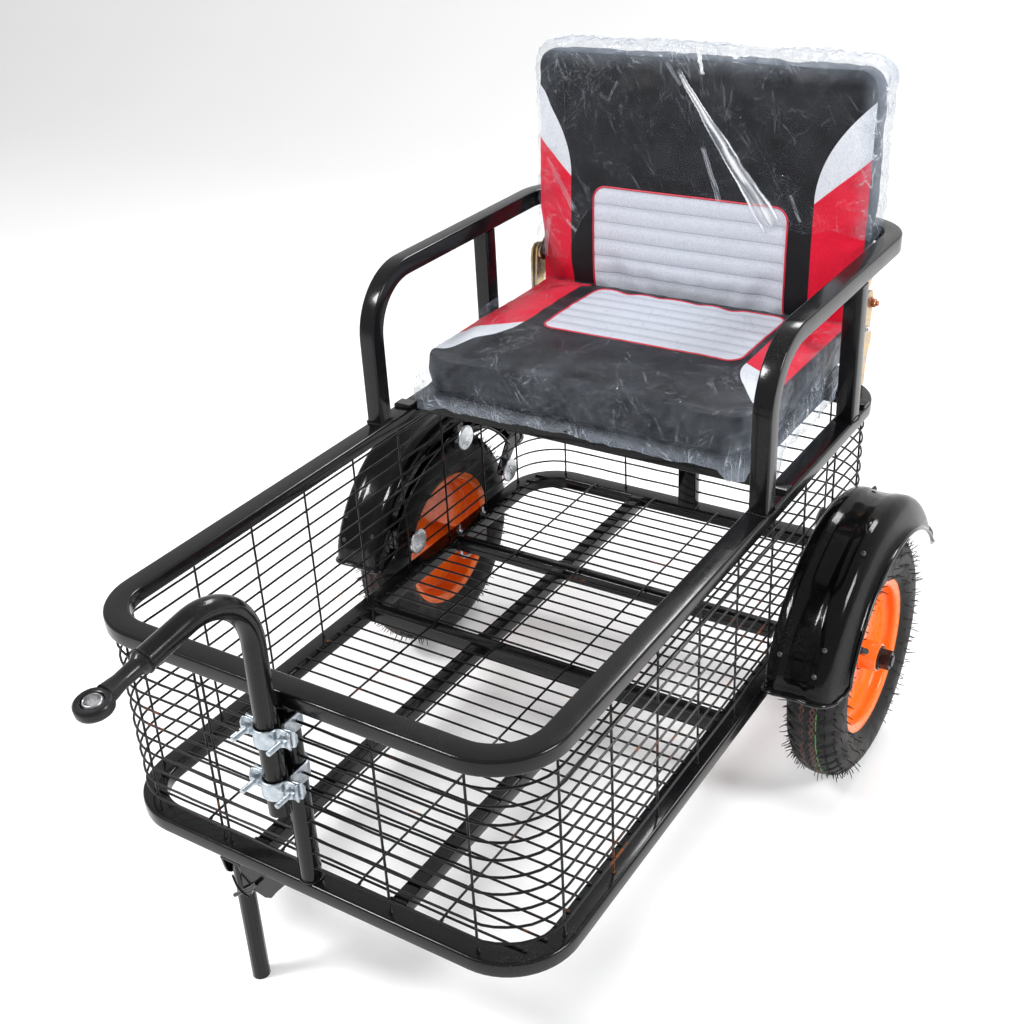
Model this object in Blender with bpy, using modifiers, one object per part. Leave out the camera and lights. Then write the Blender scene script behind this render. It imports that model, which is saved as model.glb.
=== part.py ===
"""Cargo trailer for a bicycle: a wire basket on two wheels with a folding padded seat.

Metres, +Z up, +X to the right, +Y to the rear. The origin is on the ground, under the middle of
the trailer's length. Stations along the trailer are measured from the front face of the basket.
"""
import math

import bmesh
import bpy
from mathutils import Matrix, Vector

# Fits and fineness
GAP = 0.0003
WELD = 0.00002
ARC_STEP = math.radians(18)
COARSE_STEP = math.radians(30)
WHEEL_STEPS = 24
ROUND_SIDES = 14

# Wheels and axle
TYRE_DIAMETER = 0.3578
TYRE_WIDTH = 0.0776
TREAD_WIDTH = 0.046
SIDEWALL_RATIOS = ((0.08, 0.59), (0.26, 0.88), (0.48, 1.0))
RIM_DIAMETER = 0.201
RIM_WIDTH = 0.0565
RIM_FLANGE = 0.0085
RIM_GAUGE = 0.003
WEB_OFFSET = 0.008
HUB_DIAMETER = 0.040
HUB_INNER_REACH = 0.035
HUB_OUTER_REACH = 0.037
BEARING_DIAMETER = 0.0296
BEARING_WIDTH = 0.011
SPACER_WALL = 0.002
AXLE_DIAMETER = 0.016
AXLE_INSET = 0.230
AXLE_BELOW_RAIL = 0.0196
COLLAR_WALL = 0.003
WHEEL_CLEARANCE = 0.014
NUT_FLATS = 0.024
NUT_HEIGHT = 0.013
WASHER_DIAMETER = 0.034
WASHER_THICK = 0.0025
THREAD_SHOWING = 0.003

# Basket frame
BASKET_WIDTH = 0.600
BASKET_LENGTH = 0.993
BASKET_DEPTH = 0.263
RAIL_WIDE = 0.030
RAIL_HIGH = 0.020
RAIL_CORNER = 0.085
TUBE_EDGE = 0.003
FLOOR_BAR = 0.020
CROSS_STATIONS = (0.493, 0.718)
LONG_BAR_SPACING = 0.194
LONG_BAR_SHIFT = 0.010
REAR_POST_WIDE = 0.030
REAR_POST_DEEP = 0.018

# Wire nets
WIRE = 0.003
NET_INSET = 0.010
SIDE_WIRE_PITCH = 0.0675
SIDE_WIRE_FIRST = 0.066
SIDE_UPRIGHT_PITCH = 0.106
SIDE_UPRIGHT_FIRST = 0.182
END_UPRIGHT_PITCH = 0.1135
END_UPRIGHT_SHIFT = -0.0035
FLOOR_WIRE_PITCH = 0.0702
FLOOR_LONG_PITCH = 0.110
FLOOR_NET_LAP = 0.004

# Drawbar, its post and clamps
POST_DIAMETER = 0.025
DRAWBAR_DIAMETER = 0.025
DRAWBAR_CLEAR = 0.005
DRAWBAR_TAIL = 0.125
DRAWBAR_RISE = 0.070
DRAWBAR_BEND = 0.070
DRAWBAR_TURN = math.radians(98)
DRAWBAR_RUN = 0.057
NECK_DIAMETER = 0.017
NECK_LENGTH = 0.035
SHOULDER_LENGTH = 0.008
EYE_DIAMETER = 0.037
EYE_THICK = 0.012
BUSH_DIAMETER = 0.022
BUSH_WIDTH = 0.013
HITCH_BORE = 0.015
CLAMP_GAUGE = 0.003
CLAMP_HEIGHT = 0.0225
CLAMP_HALF_SPAN = 0.032
CLAMP_BELOW_RAIL = 0.0215
CLAMP_SPACING = 0.0675
CLAMP_BOLT_X = 0.0235
CLAMP_BOLT = 0.006
BOLT_FLATS = 0.010
BOLT_HEAD = 0.0045
CLAMP_THREAD = 0.014

# Prop leg
LEG_DIAMETER = 0.022
LEG_X = -0.116
LEG_STATION = 0.018
LEG_PIVOT_DROP = 0.020
LEG_TOP = 0.009
CHEEK_GAUGE = 0.003
CHEEK_WIDTH = 0.034
CHEEK_TIP_RATIO = 0.8
LEG_PIN = 0.008
PIN_HEAD = 0.003

# Axle clamp bolts
U_BOLT = 0.006
U_BOLT_HALF_SPAN = 0.0335
U_BOLT_ROUND_RATIO = 0.4
BLOCK_LENGTH = 0.050
U_BOLT_SHOWING = 0.009

# Fenders
FENDER_RADIUS = 0.227
FENDER_GAUGE = 0.0025
FENDER_CLEAR = 0.0032
FENDER_FLANGE = 0.037
FENDER_FLAT = 0.083
FENDER_SKIRT = 0.040
FENDER_FLARE = 0.016
SKIRT_BEND_RATIO = 0.45
FLARE_BEND_RATIO = 0.75
FENDER_REAR_ANGLE = math.radians(26)
FENDER_FRONT_ANGLE = math.radians(167)
FENDER_STEPS = 10
LUG_RADIUS = 0.012
LUG_ROOT_RATIO = 1.3
LUG_GAUGE_RATIO = 1.1
LUG_TURN = 0.12
LUG_PLACES = {"front": (-0.131, 0.0716), "top": (0.012, 0.1846), "rear": (0.132, 0.0716)}
FENDER_BOLT = 0.006
BIG_WASHER = 0.039
BIG_WASHER_THICK = 0.0015

# Armrests
ARM_TUBE = 0.025
ARM_RISE = 0.217
ARM_INSET = 0.4255
ARM_BEND = 0.083
ARM_OVERHANG = 0.057
ARM_CORNER = 0.0665
REAR_ARM_POST_INSET = 0.135
POST_EDGE = 0.0018

# Seat
SUPPORT_TUBE = 0.0195
SUPPORT_FRONT_INSET = 0.012
SUPPORT_POST_CLEAR = 0.0248
SEAT_SIDE_CLEAR = 0.0215
SEAT_FRONT_INSET = 0.378
SEAT_DEPTH = 0.341
SEAT_BOARD = 0.015
SEAT_PAD = 0.047
SEAT_CROWN = 0.016
SEAT_CHANNELS = 4
SEAT_CHANNEL_PITCH = 0.046
SEAT_PANEL_WIDTH = 0.330
SEAT_PANEL_SHIFT = 0.030
CHANNEL_DEPTH = 0.004
PAD_CORNER = 0.040
PAD_SIDE_RATIOS = ((0.55, 0.985), (0.0, 1.0))

# Backrest, in its own upright frame at the hinge
BACK_PIVOT_INSET = 0.018
BACK_PIVOT_RISE = 0.045
BACK_LEAN = math.radians(3)
BACK_FACE_AHEAD = 0.014
BACK_BELOW_PIVOT = 0.034
BACK_HEIGHT = 0.330
BACK_PAD = 0.056
BACK_CROWN = 0.008
BACK_BOARD = 0.010
BACK_CHANNELS = 5
BACK_CHANNEL_PITCH = 0.033
BACK_PANEL_WIDTH = 0.310
BACK_PANEL_SHIFT = -0.070
BACK_BOARD_MARGIN = 0.012
HINGE_GAUGE = 0.003
HINGE_CLEAR = 0.0008
HINGE_EYE = 0.028
HINGE_FOOT = 0.018
HINGE_PIN = 0.008
HINGE_ARM_REACH = 0.038
HINGE_FLANGE = 0.030
HINGE_ARM_WIDTH = 0.020
HINGE_HEAD = 0.013

# Places worked out from the sizes
HALF_WIDTH = BASKET_WIDTH / 2
AXLE_STATION = BASKET_LENGTH - AXLE_INSET
ARM_STATION = BASKET_LENGTH - ARM_INSET
ARM_REAR_STATION = BASKET_LENGTH + ARM_OVERHANG
REAR_ARM_POST_STATION = BASKET_LENGTH - REAR_ARM_POST_INSET
SEAT_FRONT_STATION = BASKET_LENGTH - SEAT_FRONT_INSET
BACK_PIVOT_STATION = BASKET_LENGTH - BACK_PIVOT_INSET
SEAT_WIDTH = BASKET_WIDTH - 2 * ARM_TUBE - 2 * SEAT_SIDE_CLEAR
SUPPORT_FRONT_STATION = SEAT_FRONT_STATION + SUPPORT_FRONT_INSET
SUPPORT_REAR_STATION = REAR_ARM_POST_STATION + ARM_TUBE / 2 + SUPPORT_TUBE / 2 + SUPPORT_POST_CLEAR
AXLE_Z = TYRE_DIAMETER / 2 * math.cos(math.pi / WHEEL_STEPS)
LOWER_BOTTOM = AXLE_Z + AXLE_BELOW_RAIL
LOWER_TOP = LOWER_BOTTOM + RAIL_HIGH
UPPER_TOP = LOWER_TOP + BASKET_DEPTH
UPPER_BOTTOM = UPPER_TOP - RAIL_HIGH
DRAWBAR_AHEAD = DRAWBAR_CLEAR + DRAWBAR_DIAMETER / 2
ARM_X = HALF_WIDTH - ARM_TUBE / 2
ARM_Z = UPPER_TOP + ARM_RISE - ARM_TUBE / 2
WHEEL_X = HALF_WIDTH + WHEEL_CLEARANCE + TYRE_WIDTH / 2
SEAT_TOP = UPPER_TOP + SUPPORT_TUBE + SEAT_BOARD + SEAT_PAD + 3 * GAP


def drawbar_end():
    """Where the drawbar's tube ends, ahead of the basket and above the upper frame."""
    ahead = DRAWBAR_AHEAD + DRAWBAR_BEND * (1 - math.cos(DRAWBAR_TURN))
    up = DRAWBAR_RISE + DRAWBAR_BEND * math.sin(DRAWBAR_TURN)
    droop = DRAWBAR_TURN - math.pi / 2
    return ahead + DRAWBAR_RUN * math.cos(droop), up - DRAWBAR_RUN * math.sin(droop)


def eye_centre():
    """The middle of the towing eye, ahead of the basket and above the upper frame."""
    ahead, up = drawbar_end()
    reach = SHOULDER_LENGTH + NECK_LENGTH + EYE_DIAMETER / 2
    droop = DRAWBAR_TURN - math.pi / 2
    return ahead + reach * math.cos(droop), up - reach * math.sin(droop)


FRONT_Y = (eye_centre()[0] + EYE_DIAMETER / 2 - ARM_REAR_STATION - ARM_TUBE / 2) / 2

PALETTE = {
    "frame": ((0.012, 0.012, 0.014), 0.28, 0.0),
    "wire": ((0.015, 0.015, 0.016), 0.40, 0.0),
    "fender": ((0.008, 0.008, 0.009), 0.12, 0.0),
    "zinc": ((0.62, 0.66, 0.70), 0.30, 1.0),
    "gold": ((0.72, 0.56, 0.33), 0.38, 1.0),
    "orange": ((0.86, 0.17, 0.012), 0.32, 0.0),
    "rubber": ((0.022, 0.022, 0.023), 0.75, 0.0),
    "padding": ((0.028, 0.030, 0.036), 0.55, 0.0),
    "board": ((0.045, 0.042, 0.040), 0.70, 0.0),
    "steel": ((0.50, 0.50, 0.52), 0.35, 1.0),
}


def station(distance):
    """The Y of a place measured from the front face of the basket."""
    return FRONT_Y + distance


def clear_scene():
    """Remove whatever the scene holds."""
    for thing in list(bpy.data.objects):
        bpy.data.objects.remove(thing, do_unlink=True)


def new_collection(name):
    """A collection linked to the scene."""
    collection = bpy.data.collections.new(name)
    bpy.context.scene.collection.children.link(collection)
    return collection


clear_scene()
PARTS = new_collection("bicycle_trailer")
CUTTERS = new_collection("cutters")


def finish(name, look):
    """A material of its own for one part."""
    colour, roughness, metallic = PALETTE[look]
    material = bpy.data.materials.new(name)
    material.use_nodes = True
    shader = material.node_tree.nodes["Principled BSDF"]
    shader.inputs["Base Color"].default_value = (*colour, 1)
    shader.inputs["Roughness"].default_value = roughness
    shader.inputs["Metallic"].default_value = metallic
    return material


def part(name, mesh, look, smooth=False, parent=None):
    """Add a mesh to the trailer as a named part."""
    thing = bpy.data.objects.new(name, mesh)
    mesh.materials.append(finish(name, look))
    PARTS.objects.link(thing)
    thing.parent = parent
    if smooth:
        mesh.shade_smooth()
        mesh.set_sharp_from_angle(angle=math.radians(35))
    return thing


def tool(mesh, parent=None):
    """Add a mesh that only cuts or joins a part."""
    thing = bpy.data.objects.new("tool", mesh)
    CUTTERS.objects.link(thing)
    thing.hide_render = True
    thing.display_type = "WIRE"
    thing.parent = parent
    return thing


def combine(target, other, operation):
    """Cut a part by another mesh, or join the two."""
    modifier = target.modifiers.new(operation.lower(), "BOOLEAN")
    modifier.operation = operation
    modifier.object = other
    return target


def join(target, *meshes):
    """Union a part with further meshes."""
    for mesh in meshes:
        combine(target, tool(mesh, target.parent), "UNION")
    return target


def cut(target, *meshes):
    """Cut meshes out of a part."""
    for mesh in meshes:
        combine(target, tool(mesh, target.parent), "DIFFERENCE")
    return target


def round_edges(target, radius, segments=1):
    """Round the sharp edges of a part."""
    bevel = target.modifiers.new("edges", "BEVEL")
    bevel.width = radius
    bevel.segments = segments
    bevel.limit_method = "ANGLE"
    return target


def mesh_of(form):
    """A mesh from a bmesh."""
    mesh = bpy.data.meshes.new("form")
    form.to_mesh(mesh)
    form.free()
    return mesh


def block(low, high):
    """A box between two corners."""
    form = bmesh.new()
    bmesh.ops.create_cube(form, size=1)
    size = Vector(high) - Vector(low)
    bmesh.ops.scale(form, vec=size, verts=form.verts)
    bmesh.ops.translate(form, vec=(Vector(high) + Vector(low)) / 2, verts=form.verts)
    return mesh_of(form)


def rod(start, end, diameter, sides=ROUND_SIDES):
    """A cylinder, or a prism with few sides, between two points."""
    start, end = Vector(start), Vector(end)
    run = end - start
    form = bmesh.new()
    bmesh.ops.create_cone(form, cap_ends=True, segments=sides, radius1=diameter / 2,
                          radius2=diameter / 2, depth=run.length)
    turn = Vector((0, 0, 1)).rotation_difference(run).to_matrix().to_4x4()
    bmesh.ops.transform(form, matrix=Matrix.Translation((start + end) / 2) @ turn, verts=form.verts)
    return mesh_of(form)


def hexagon(start, end, flats):
    """A hexagonal prism, sized across its flats."""
    return rod(start, end, flats / math.cos(math.pi / 6), sides=6)


def arc(centre, radius, first, last, step=ARC_STEP):
    """Points along an arc in a plane, both ends included."""
    count = max(2, math.ceil(abs(last - first) / step - 0.01))
    angles = [first + (last - first) * i / count for i in range(count + 1)]
    return [(centre[0] + radius * math.cos(a), centre[1] + radius * math.sin(a)) for a in angles]


def welded(curve):
    """The mesh of a curve, with its caps welded on and its faces pointing out."""
    guide = bpy.data.objects.new("guide", curve)
    CUTTERS.objects.link(guide)
    graph = bpy.context.evaluated_depsgraph_get()
    mesh = bpy.data.meshes.new_from_object(guide.evaluated_get(graph))
    bpy.data.objects.remove(guide)
    form = bmesh.new()
    form.from_mesh(mesh)
    bmesh.ops.remove_doubles(form, verts=form.verts, dist=WELD)
    bmesh.ops.recalc_face_normals(form, faces=form.faces)
    bpy.data.meshes.remove(mesh)
    return mesh_of(form)


def spline_through(curve, points, closed):
    """Add a straight-sided spline through the points."""
    spline = curve.splines.new("POLY")
    spline.points.add(len(points) - 1)
    for place, point in zip(spline.points, points):
        place.co = (*point, 1) if len(point) == 3 else (*point, 0, 1)
    spline.use_cyclic_u = closed


def tube_section(wide, high):
    """The outline of a rectangular tube with eased corners, as a guide to sweep."""
    section = bpy.data.curves.new("section", "CURVE")
    section.dimensions = "2D"
    corners = []
    for x, y, first in ((1, 1, 0), (-1, 1, 90), (-1, -1, 180), (1, -1, 270)):
        centre = (x * (wide / 2 - TUBE_EDGE), y * (high / 2 - TUBE_EDGE))
        turn = math.radians(first)
        corners += [(centre[0] + TUBE_EDGE * math.cos(a), centre[1] + TUBE_EDGE * math.sin(a))
                    for a in (turn, turn + math.pi / 2)]
    spline_through(section, corners, True)
    guide = bpy.data.objects.new("section", section)
    CUTTERS.objects.link(guide)
    guide.hide_render = True
    guide.display_type = "WIRE"
    return guide


def swept(points, section, closed=False, resolution=4):
    """A tube along points: round if the section is a diameter, or of a drawn section."""
    curve = bpy.data.curves.new("path", "CURVE")
    curve.dimensions = "3D"
    curve.use_fill_caps = True
    if isinstance(section, float):
        curve.bevel_depth = section / 2
        curve.bevel_resolution = resolution
    else:
        curve.bevel_mode = "OBJECT"
        curve.bevel_object = section
    spline_through(curve, points, closed)
    return welded(curve)


def plate(outlines, thickness, matrix=None):
    """A flat outline, with any holes, given a thickness about its plane."""
    curve = bpy.data.curves.new("outline", "CURVE")
    curve.dimensions = "2D"
    curve.fill_mode = "BOTH"
    curve.extrude = thickness / 2
    for outline in outlines:
        spline_through(curve, outline, True)
    mesh = welded(curve)
    if matrix:
        mesh.transform(matrix)
    return mesh


def facing_x(x):
    """Lay a flat outline in the YZ plane, at an X."""
    return Matrix(((0, 0, 1, x), (1, 0, 0, 0), (0, 1, 0, 0), (0, 0, 0, 1)))


def circle(centre, radius, sides=12):
    """A round outline."""
    return [(centre[0] + radius * math.cos(2 * math.pi * i / sides),
             centre[1] + radius * math.sin(2 * math.pi * i / sides)) for i in range(sides)]


def strap(start, end, start_width, end_width):
    """The outline of a strap with two round ends, which may differ in width."""
    start, end = Vector(start), Vector(end)
    run = end - start
    heading = math.atan2(run.y, run.x)
    tip = math.asin((start_width - end_width) / 2 / run.length)
    far = arc(end, end_width / 2, heading - math.pi / 2 + tip, heading + math.pi / 2 - tip, COARSE_STEP)
    near = arc(start, start_width / 2, heading + math.pi / 2 - tip,
               heading + 3 * math.pi / 2 + tip, COARSE_STEP)
    return far + near


def turned(name, profile, look, centre, outward=1, steps=WHEEL_STEPS, closed=True, upright=False):
    """Turn a profile of radius and distance about the X axis through a centre, or about Z.

    The profile is a closed ring, or else runs from the axis back to the axis.
    """
    area = sum(a[0] * b[1] - b[0] * a[1] for a, b in zip(profile, profile[1:] + profile[:1]))
    points = profile if area < 0 else profile[::-1]
    form = bmesh.new()
    corners = [form.verts.new((radius, 0, along)) for radius, along in points]
    following = corners[1:] + corners[:1] if closed else corners[1:]
    for pair in zip(corners, following):
        form.edges.new(pair)
    thing = part(name, mesh_of(form), look)
    screw = thing.modifiers.new("turn", "SCREW")
    screw.steps = steps
    screw.render_steps = steps
    screw.use_merge_vertices = True
    screw.merge_threshold = WELD
    screw.use_smooth_shade = True
    flat_down = Matrix.Rotation(math.pi / steps, 4, "Z")
    lying = Matrix.Identity(4) if upright else Matrix.Rotation(outward * math.pi / 2, 4, "Y")
    thing.matrix_basis = Matrix.Translation(centre) @ lying @ flat_down
    return thing


def loop_path(inset, corner, z):
    """The rounded rectangle of a basket rail, inset from the outer faces."""
    half = HALF_WIDTH - inset
    near, far = station(inset), station(BASKET_LENGTH - inset)
    centres = (((half - corner), (far - corner), 0), (-(half - corner), (far - corner), 90),
               (-(half - corner), (near + corner), 180), ((half - corner), (near + corner), 270))
    points = []
    for x, y, first in centres:
        turn = math.radians(first)
        points += arc((x, y), corner, turn, turn + math.pi / 2)
    return [(x, y, z) for x, y in points]


def make_rails():
    """The two tube loops, the lower one drilled for the axle's bolts."""
    section = tube_section(RAIL_WIDE, RAIL_HIGH)
    inset = RAIL_WIDE / 2
    path = loop_path(inset, RAIL_CORNER - inset, LOWER_TOP - RAIL_HIGH / 2)
    lower = part("lower_frame", swept(path, section, True), "frame", smooth=True)
    for side in (-1, 1):
        for y in u_bolt_stations():
            x = side * u_bolt_x()
            cut(lower, rod((x, y, LOWER_BOTTOM - RAIL_HIGH), (x, y, LOWER_TOP + RAIL_HIGH),
                           U_BOLT + 2 * GAP, 8))
    path = loop_path(inset, RAIL_CORNER - inset, UPPER_TOP - RAIL_HIGH / 2)
    part("upper_frame", swept(path, section, True), "frame", smooth=True)


def make_floor_frame():
    """Two cross tubes and two lengthwise tubes between the sides of the lower loop."""
    half = HALF_WIDTH - RAIL_WIDE - GAP
    low = LOWER_TOP - RAIL_HIGH
    bars = []
    for middle in CROSS_STATIONS:
        y = station(middle)
        bars.append(block((-half, y - FLOOR_BAR / 2, low), (half, y + FLOOR_BAR / 2, LOWER_TOP)))
    ends = station(RAIL_WIDE + GAP), station(BASKET_LENGTH - RAIL_WIDE - GAP)
    for side in (-1, 1):
        x = LONG_BAR_SHIFT + side * LONG_BAR_SPACING / 2
        bars.append(block((x - FLOOR_BAR / 2, ends[0], low), (x + FLOOR_BAR / 2, ends[1], LOWER_TOP)))
    join(part("floor_frame", bars[0], "frame"), *bars[1:])


def between(start, end, first, pitch):
    """The stations of a pitch that lie between two ends, and the ends themselves."""
    room = 3 * WIRE
    count = math.ceil((end - start) / pitch) + 1
    base = first + math.ceil((start + room - first) / pitch) * pitch
    inner = [base + i * pitch for i in range(count) if base + i * pitch < end - room]
    return [start] + inner + [end]


def make_net(name, across, up, lay, extra=()):
    """A welded net: wires at the stations across and up, laid in place by a function."""
    stops = [sorted([w + side * WIRE / 2 for w in wires for side in (-1, 1)] + list(more))
             for wires, more in ((across, extra), (up, ()))]
    counts = [len(row) - 1 for row in stops]
    form = bmesh.new()
    bmesh.ops.create_grid(form, x_segments=counts[0], y_segments=counts[1], size=0.5)
    place = {v: [round((v.co[k] + 0.5) * counts[k]) for k in (0, 1)] for v in form.verts}
    holes = []
    for face in form.faces:
        middle = []
        for k in (0, 1):
            first = min(place[v][k] for v in face.verts)
            middle.append((stops[k][first] + stops[k][first + 1]) / 2)
        on_wire = [any(abs(middle[k] - w) < WIRE / 2 for w in wires)
                   for k, wires in enumerate((across, up))]
        if not any(on_wire):
            holes.append(face)
    for v in form.verts:
        i, j = place[v]
        v.co = lay(stops[0][i], stops[1][j])
    bmesh.ops.delete(form, geom=holes, context="FACES")
    net = part(name, mesh_of(form), "wire")
    shell = net.modifiers.new("gauge", "SOLIDIFY")
    shell.thickness = WIRE
    shell.offset = 0
    return net


def side_rows():
    """The heights of the side nets' level wires, with one on each rail."""
    low = LOWER_TOP + GAP + WIRE / 2
    return between(low, UPPER_BOTTOM - GAP - WIRE / 2, LOWER_TOP + SIDE_WIRE_FIRST, SIDE_WIRE_PITCH)


def net_corner():
    """The straight half width, the corner radius and the developed end of an end net."""
    straight = HALF_WIDTH - RAIL_CORNER
    radius = RAIL_CORNER - NET_INSET
    return straight, radius, straight + radius * math.pi / 2


def around_corner(run):
    """X and depth of a place along an end net, from the middle out and round the corner."""
    straight, radius, _ = net_corner()
    turn = max(0, abs(run) - straight) / radius
    x = min(abs(run), straight) + radius * math.sin(turn)
    return math.copysign(x, run), NET_INSET + radius * (1 - math.cos(turn))


def corner_stops(side):
    """Where an end net's level wires bend round one corner."""
    straight, radius, _ = net_corner()
    return [side * (straight + radius * math.pi / 2 * i / 4) for i in range(4)]


def make_nets():
    """The floor net, and the nets of the four sides between the two loops."""
    half = HALF_WIDTH - RAIL_WIDE + FLOOR_NET_LAP - WIRE / 2
    start = RAIL_WIDE - FLOOR_NET_LAP + WIRE / 2
    rows = between(start, BASKET_LENGTH - start, start + FLOOR_WIRE_PITCH, FLOOR_WIRE_PITCH)
    columns = between(-half, half, FLOOR_LONG_PITCH / 2, FLOOR_LONG_PITCH)
    z = LOWER_TOP + GAP + WIRE / 2
    floor = make_net("floor_mesh", columns, rows, lambda x, y: (x, station(y), z))
    clear = NET_INSET + 2 * WIRE
    inside = [(x, y) for x, y, _ in loop_path(clear, RAIL_CORNER - clear, z)]
    beyond = [(x, y) for x, y, _ in loop_path(0, RAIL_CORNER, z)]
    cut(floor, plate([beyond, inside], 2 * WIRE, Matrix.Translation((0, 0, z))))

    start = RAIL_CORNER + GAP + WIRE / 2
    uprights = between(start, BASKET_LENGTH - start, SIDE_UPRIGHT_FIRST, SIDE_UPRIGHT_PITCH)
    for side, word in ((-1, "left"), (1, "right")):
        x = side * (HALF_WIDTH - NET_INSET)
        make_net(f"side_mesh_{word}", uprights, side_rows(), lambda s, t, x=x: (x, station(s), t))

    outer = net_corner()[-1] - WIRE / 2
    inner = POST_DIAMETER / 2 + CLAMP_GAUGE + 3 * GAP + WIRE / 2
    for side, word in ((-1, "left"), (1, "right")):
        ends = sorted((side * inner, side * outer))
        uprights = between(*ends, END_UPRIGHT_SHIFT, END_UPRIGHT_PITCH)
        extra = [s for s in corner_stops(side) if min(abs(s - u) for u in uprights) > WIRE]
        make_net(f"side_mesh_front_{word}", uprights, side_rows(),
                 lambda s, t: (around_corner(s)[0], station(around_corner(s)[1]), t), extra)
    uprights = between(-outer, outer, END_UPRIGHT_SHIFT, END_UPRIGHT_PITCH)
    extra = [s for side in (-1, 1) for s in corner_stops(side)
             if min(abs(s - u) for u in uprights) > WIRE]
    make_net("side_mesh_rear", uprights, side_rows(),
             lambda s, t: (around_corner(s)[0], station(BASKET_LENGTH - around_corner(s)[1]), t), extra)


def post_station():
    """The station of the round post that carries the drawbar."""
    return POST_DIAMETER / 2 + GAP


def make_posts():
    """The posts that join the two loops at the front and the rear."""
    y = station(post_station())
    part("drawbar_post", rod((0, y, LOWER_TOP + GAP), (0, y, UPPER_BOTTOM - GAP), POST_DIAMETER),
         "frame", smooth=True)
    rear = station(BASKET_LENGTH - NET_INSET) - WIRE / 2 - GAP
    post = part("rear_post", block((-REAR_POST_WIDE / 2, rear - REAR_POST_DEEP, LOWER_TOP + GAP),
                                   (REAR_POST_WIDE / 2, rear, UPPER_BOTTOM - GAP)), "frame")
    cut(post, block((-REAR_POST_WIDE, rear - 2 * REAR_POST_DEEP, LOWER_TOP),
                    (REAR_POST_WIDE, station(BASKET_LENGTH - start_of_floor_net()) + GAP,
                     LOWER_TOP + WIRE + 2 * GAP)))


def start_of_floor_net():
    """How far the floor net's edge lies inside the basket's outer faces."""
    return RAIL_WIDE - FLOOR_NET_LAP


def make_drawbar():
    """The bent drawbar, its towing eye and the bush in the eye."""
    y = station(-DRAWBAR_AHEAD)
    bend_z = UPPER_TOP + DRAWBAR_RISE
    path = [(0, y, UPPER_BOTTOM - DRAWBAR_TAIL)]
    path += [(0, a, b) for a, b in arc((y - DRAWBAR_BEND, bend_z), DRAWBAR_BEND, 0, DRAWBAR_TURN,
                                      math.radians(12))]
    ahead, up = drawbar_end()
    end = Vector((0, station(-ahead), UPPER_TOP + up))
    path.append(tuple(end))
    part("drawbar", swept(path, DRAWBAR_DIAMETER, resolution=5), "frame", smooth=True)

    droop = DRAWBAR_TURN - math.pi / 2
    heading = Vector((0, -math.cos(droop), -math.sin(droop)))
    shoulder = end + heading * GAP
    neck = shoulder + heading * SHOULDER_LENGTH
    ahead, up = eye_centre()
    centre = Vector((0, station(-ahead), UPPER_TOP + up))
    tip = neck + heading * (NECK_LENGTH + EYE_DIAMETER / 2 - BUSH_DIAMETER / 2 - EYE_THICK / 4)
    eye = part("towing_eye", rod(shoulder, neck, DRAWBAR_DIAMETER), "frame")
    rise = Vector((0, 0, EYE_THICK / 2))
    join(eye, rod(neck - heading * WIRE, tip, NECK_DIAMETER, 12),
         rod(centre - rise, centre + rise, EYE_DIAMETER, 24))
    cut(eye, rod(centre - 3 * rise, centre + 3 * rise, BUSH_DIAMETER + 2 * GAP, 20))

    half = BUSH_WIDTH / 2
    edge = math.asin(half / (BUSH_DIAMETER / 2))
    ball = arc((0, 0), BUSH_DIAMETER / 2, edge, -edge, edge)
    turned("eye_bush", ball + [(HITCH_BORE / 2, -half), (HITCH_BORE / 2, half)], "steel", centre,
           steps=ROUND_SIDES, upright=True)


def clamp_heights():
    """The middle height of each clamp."""
    upper = UPPER_BOTTOM - CLAMP_BELOW_RAIL
    return {"upper": upper, "lower": upper - CLAMP_SPACING}


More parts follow.
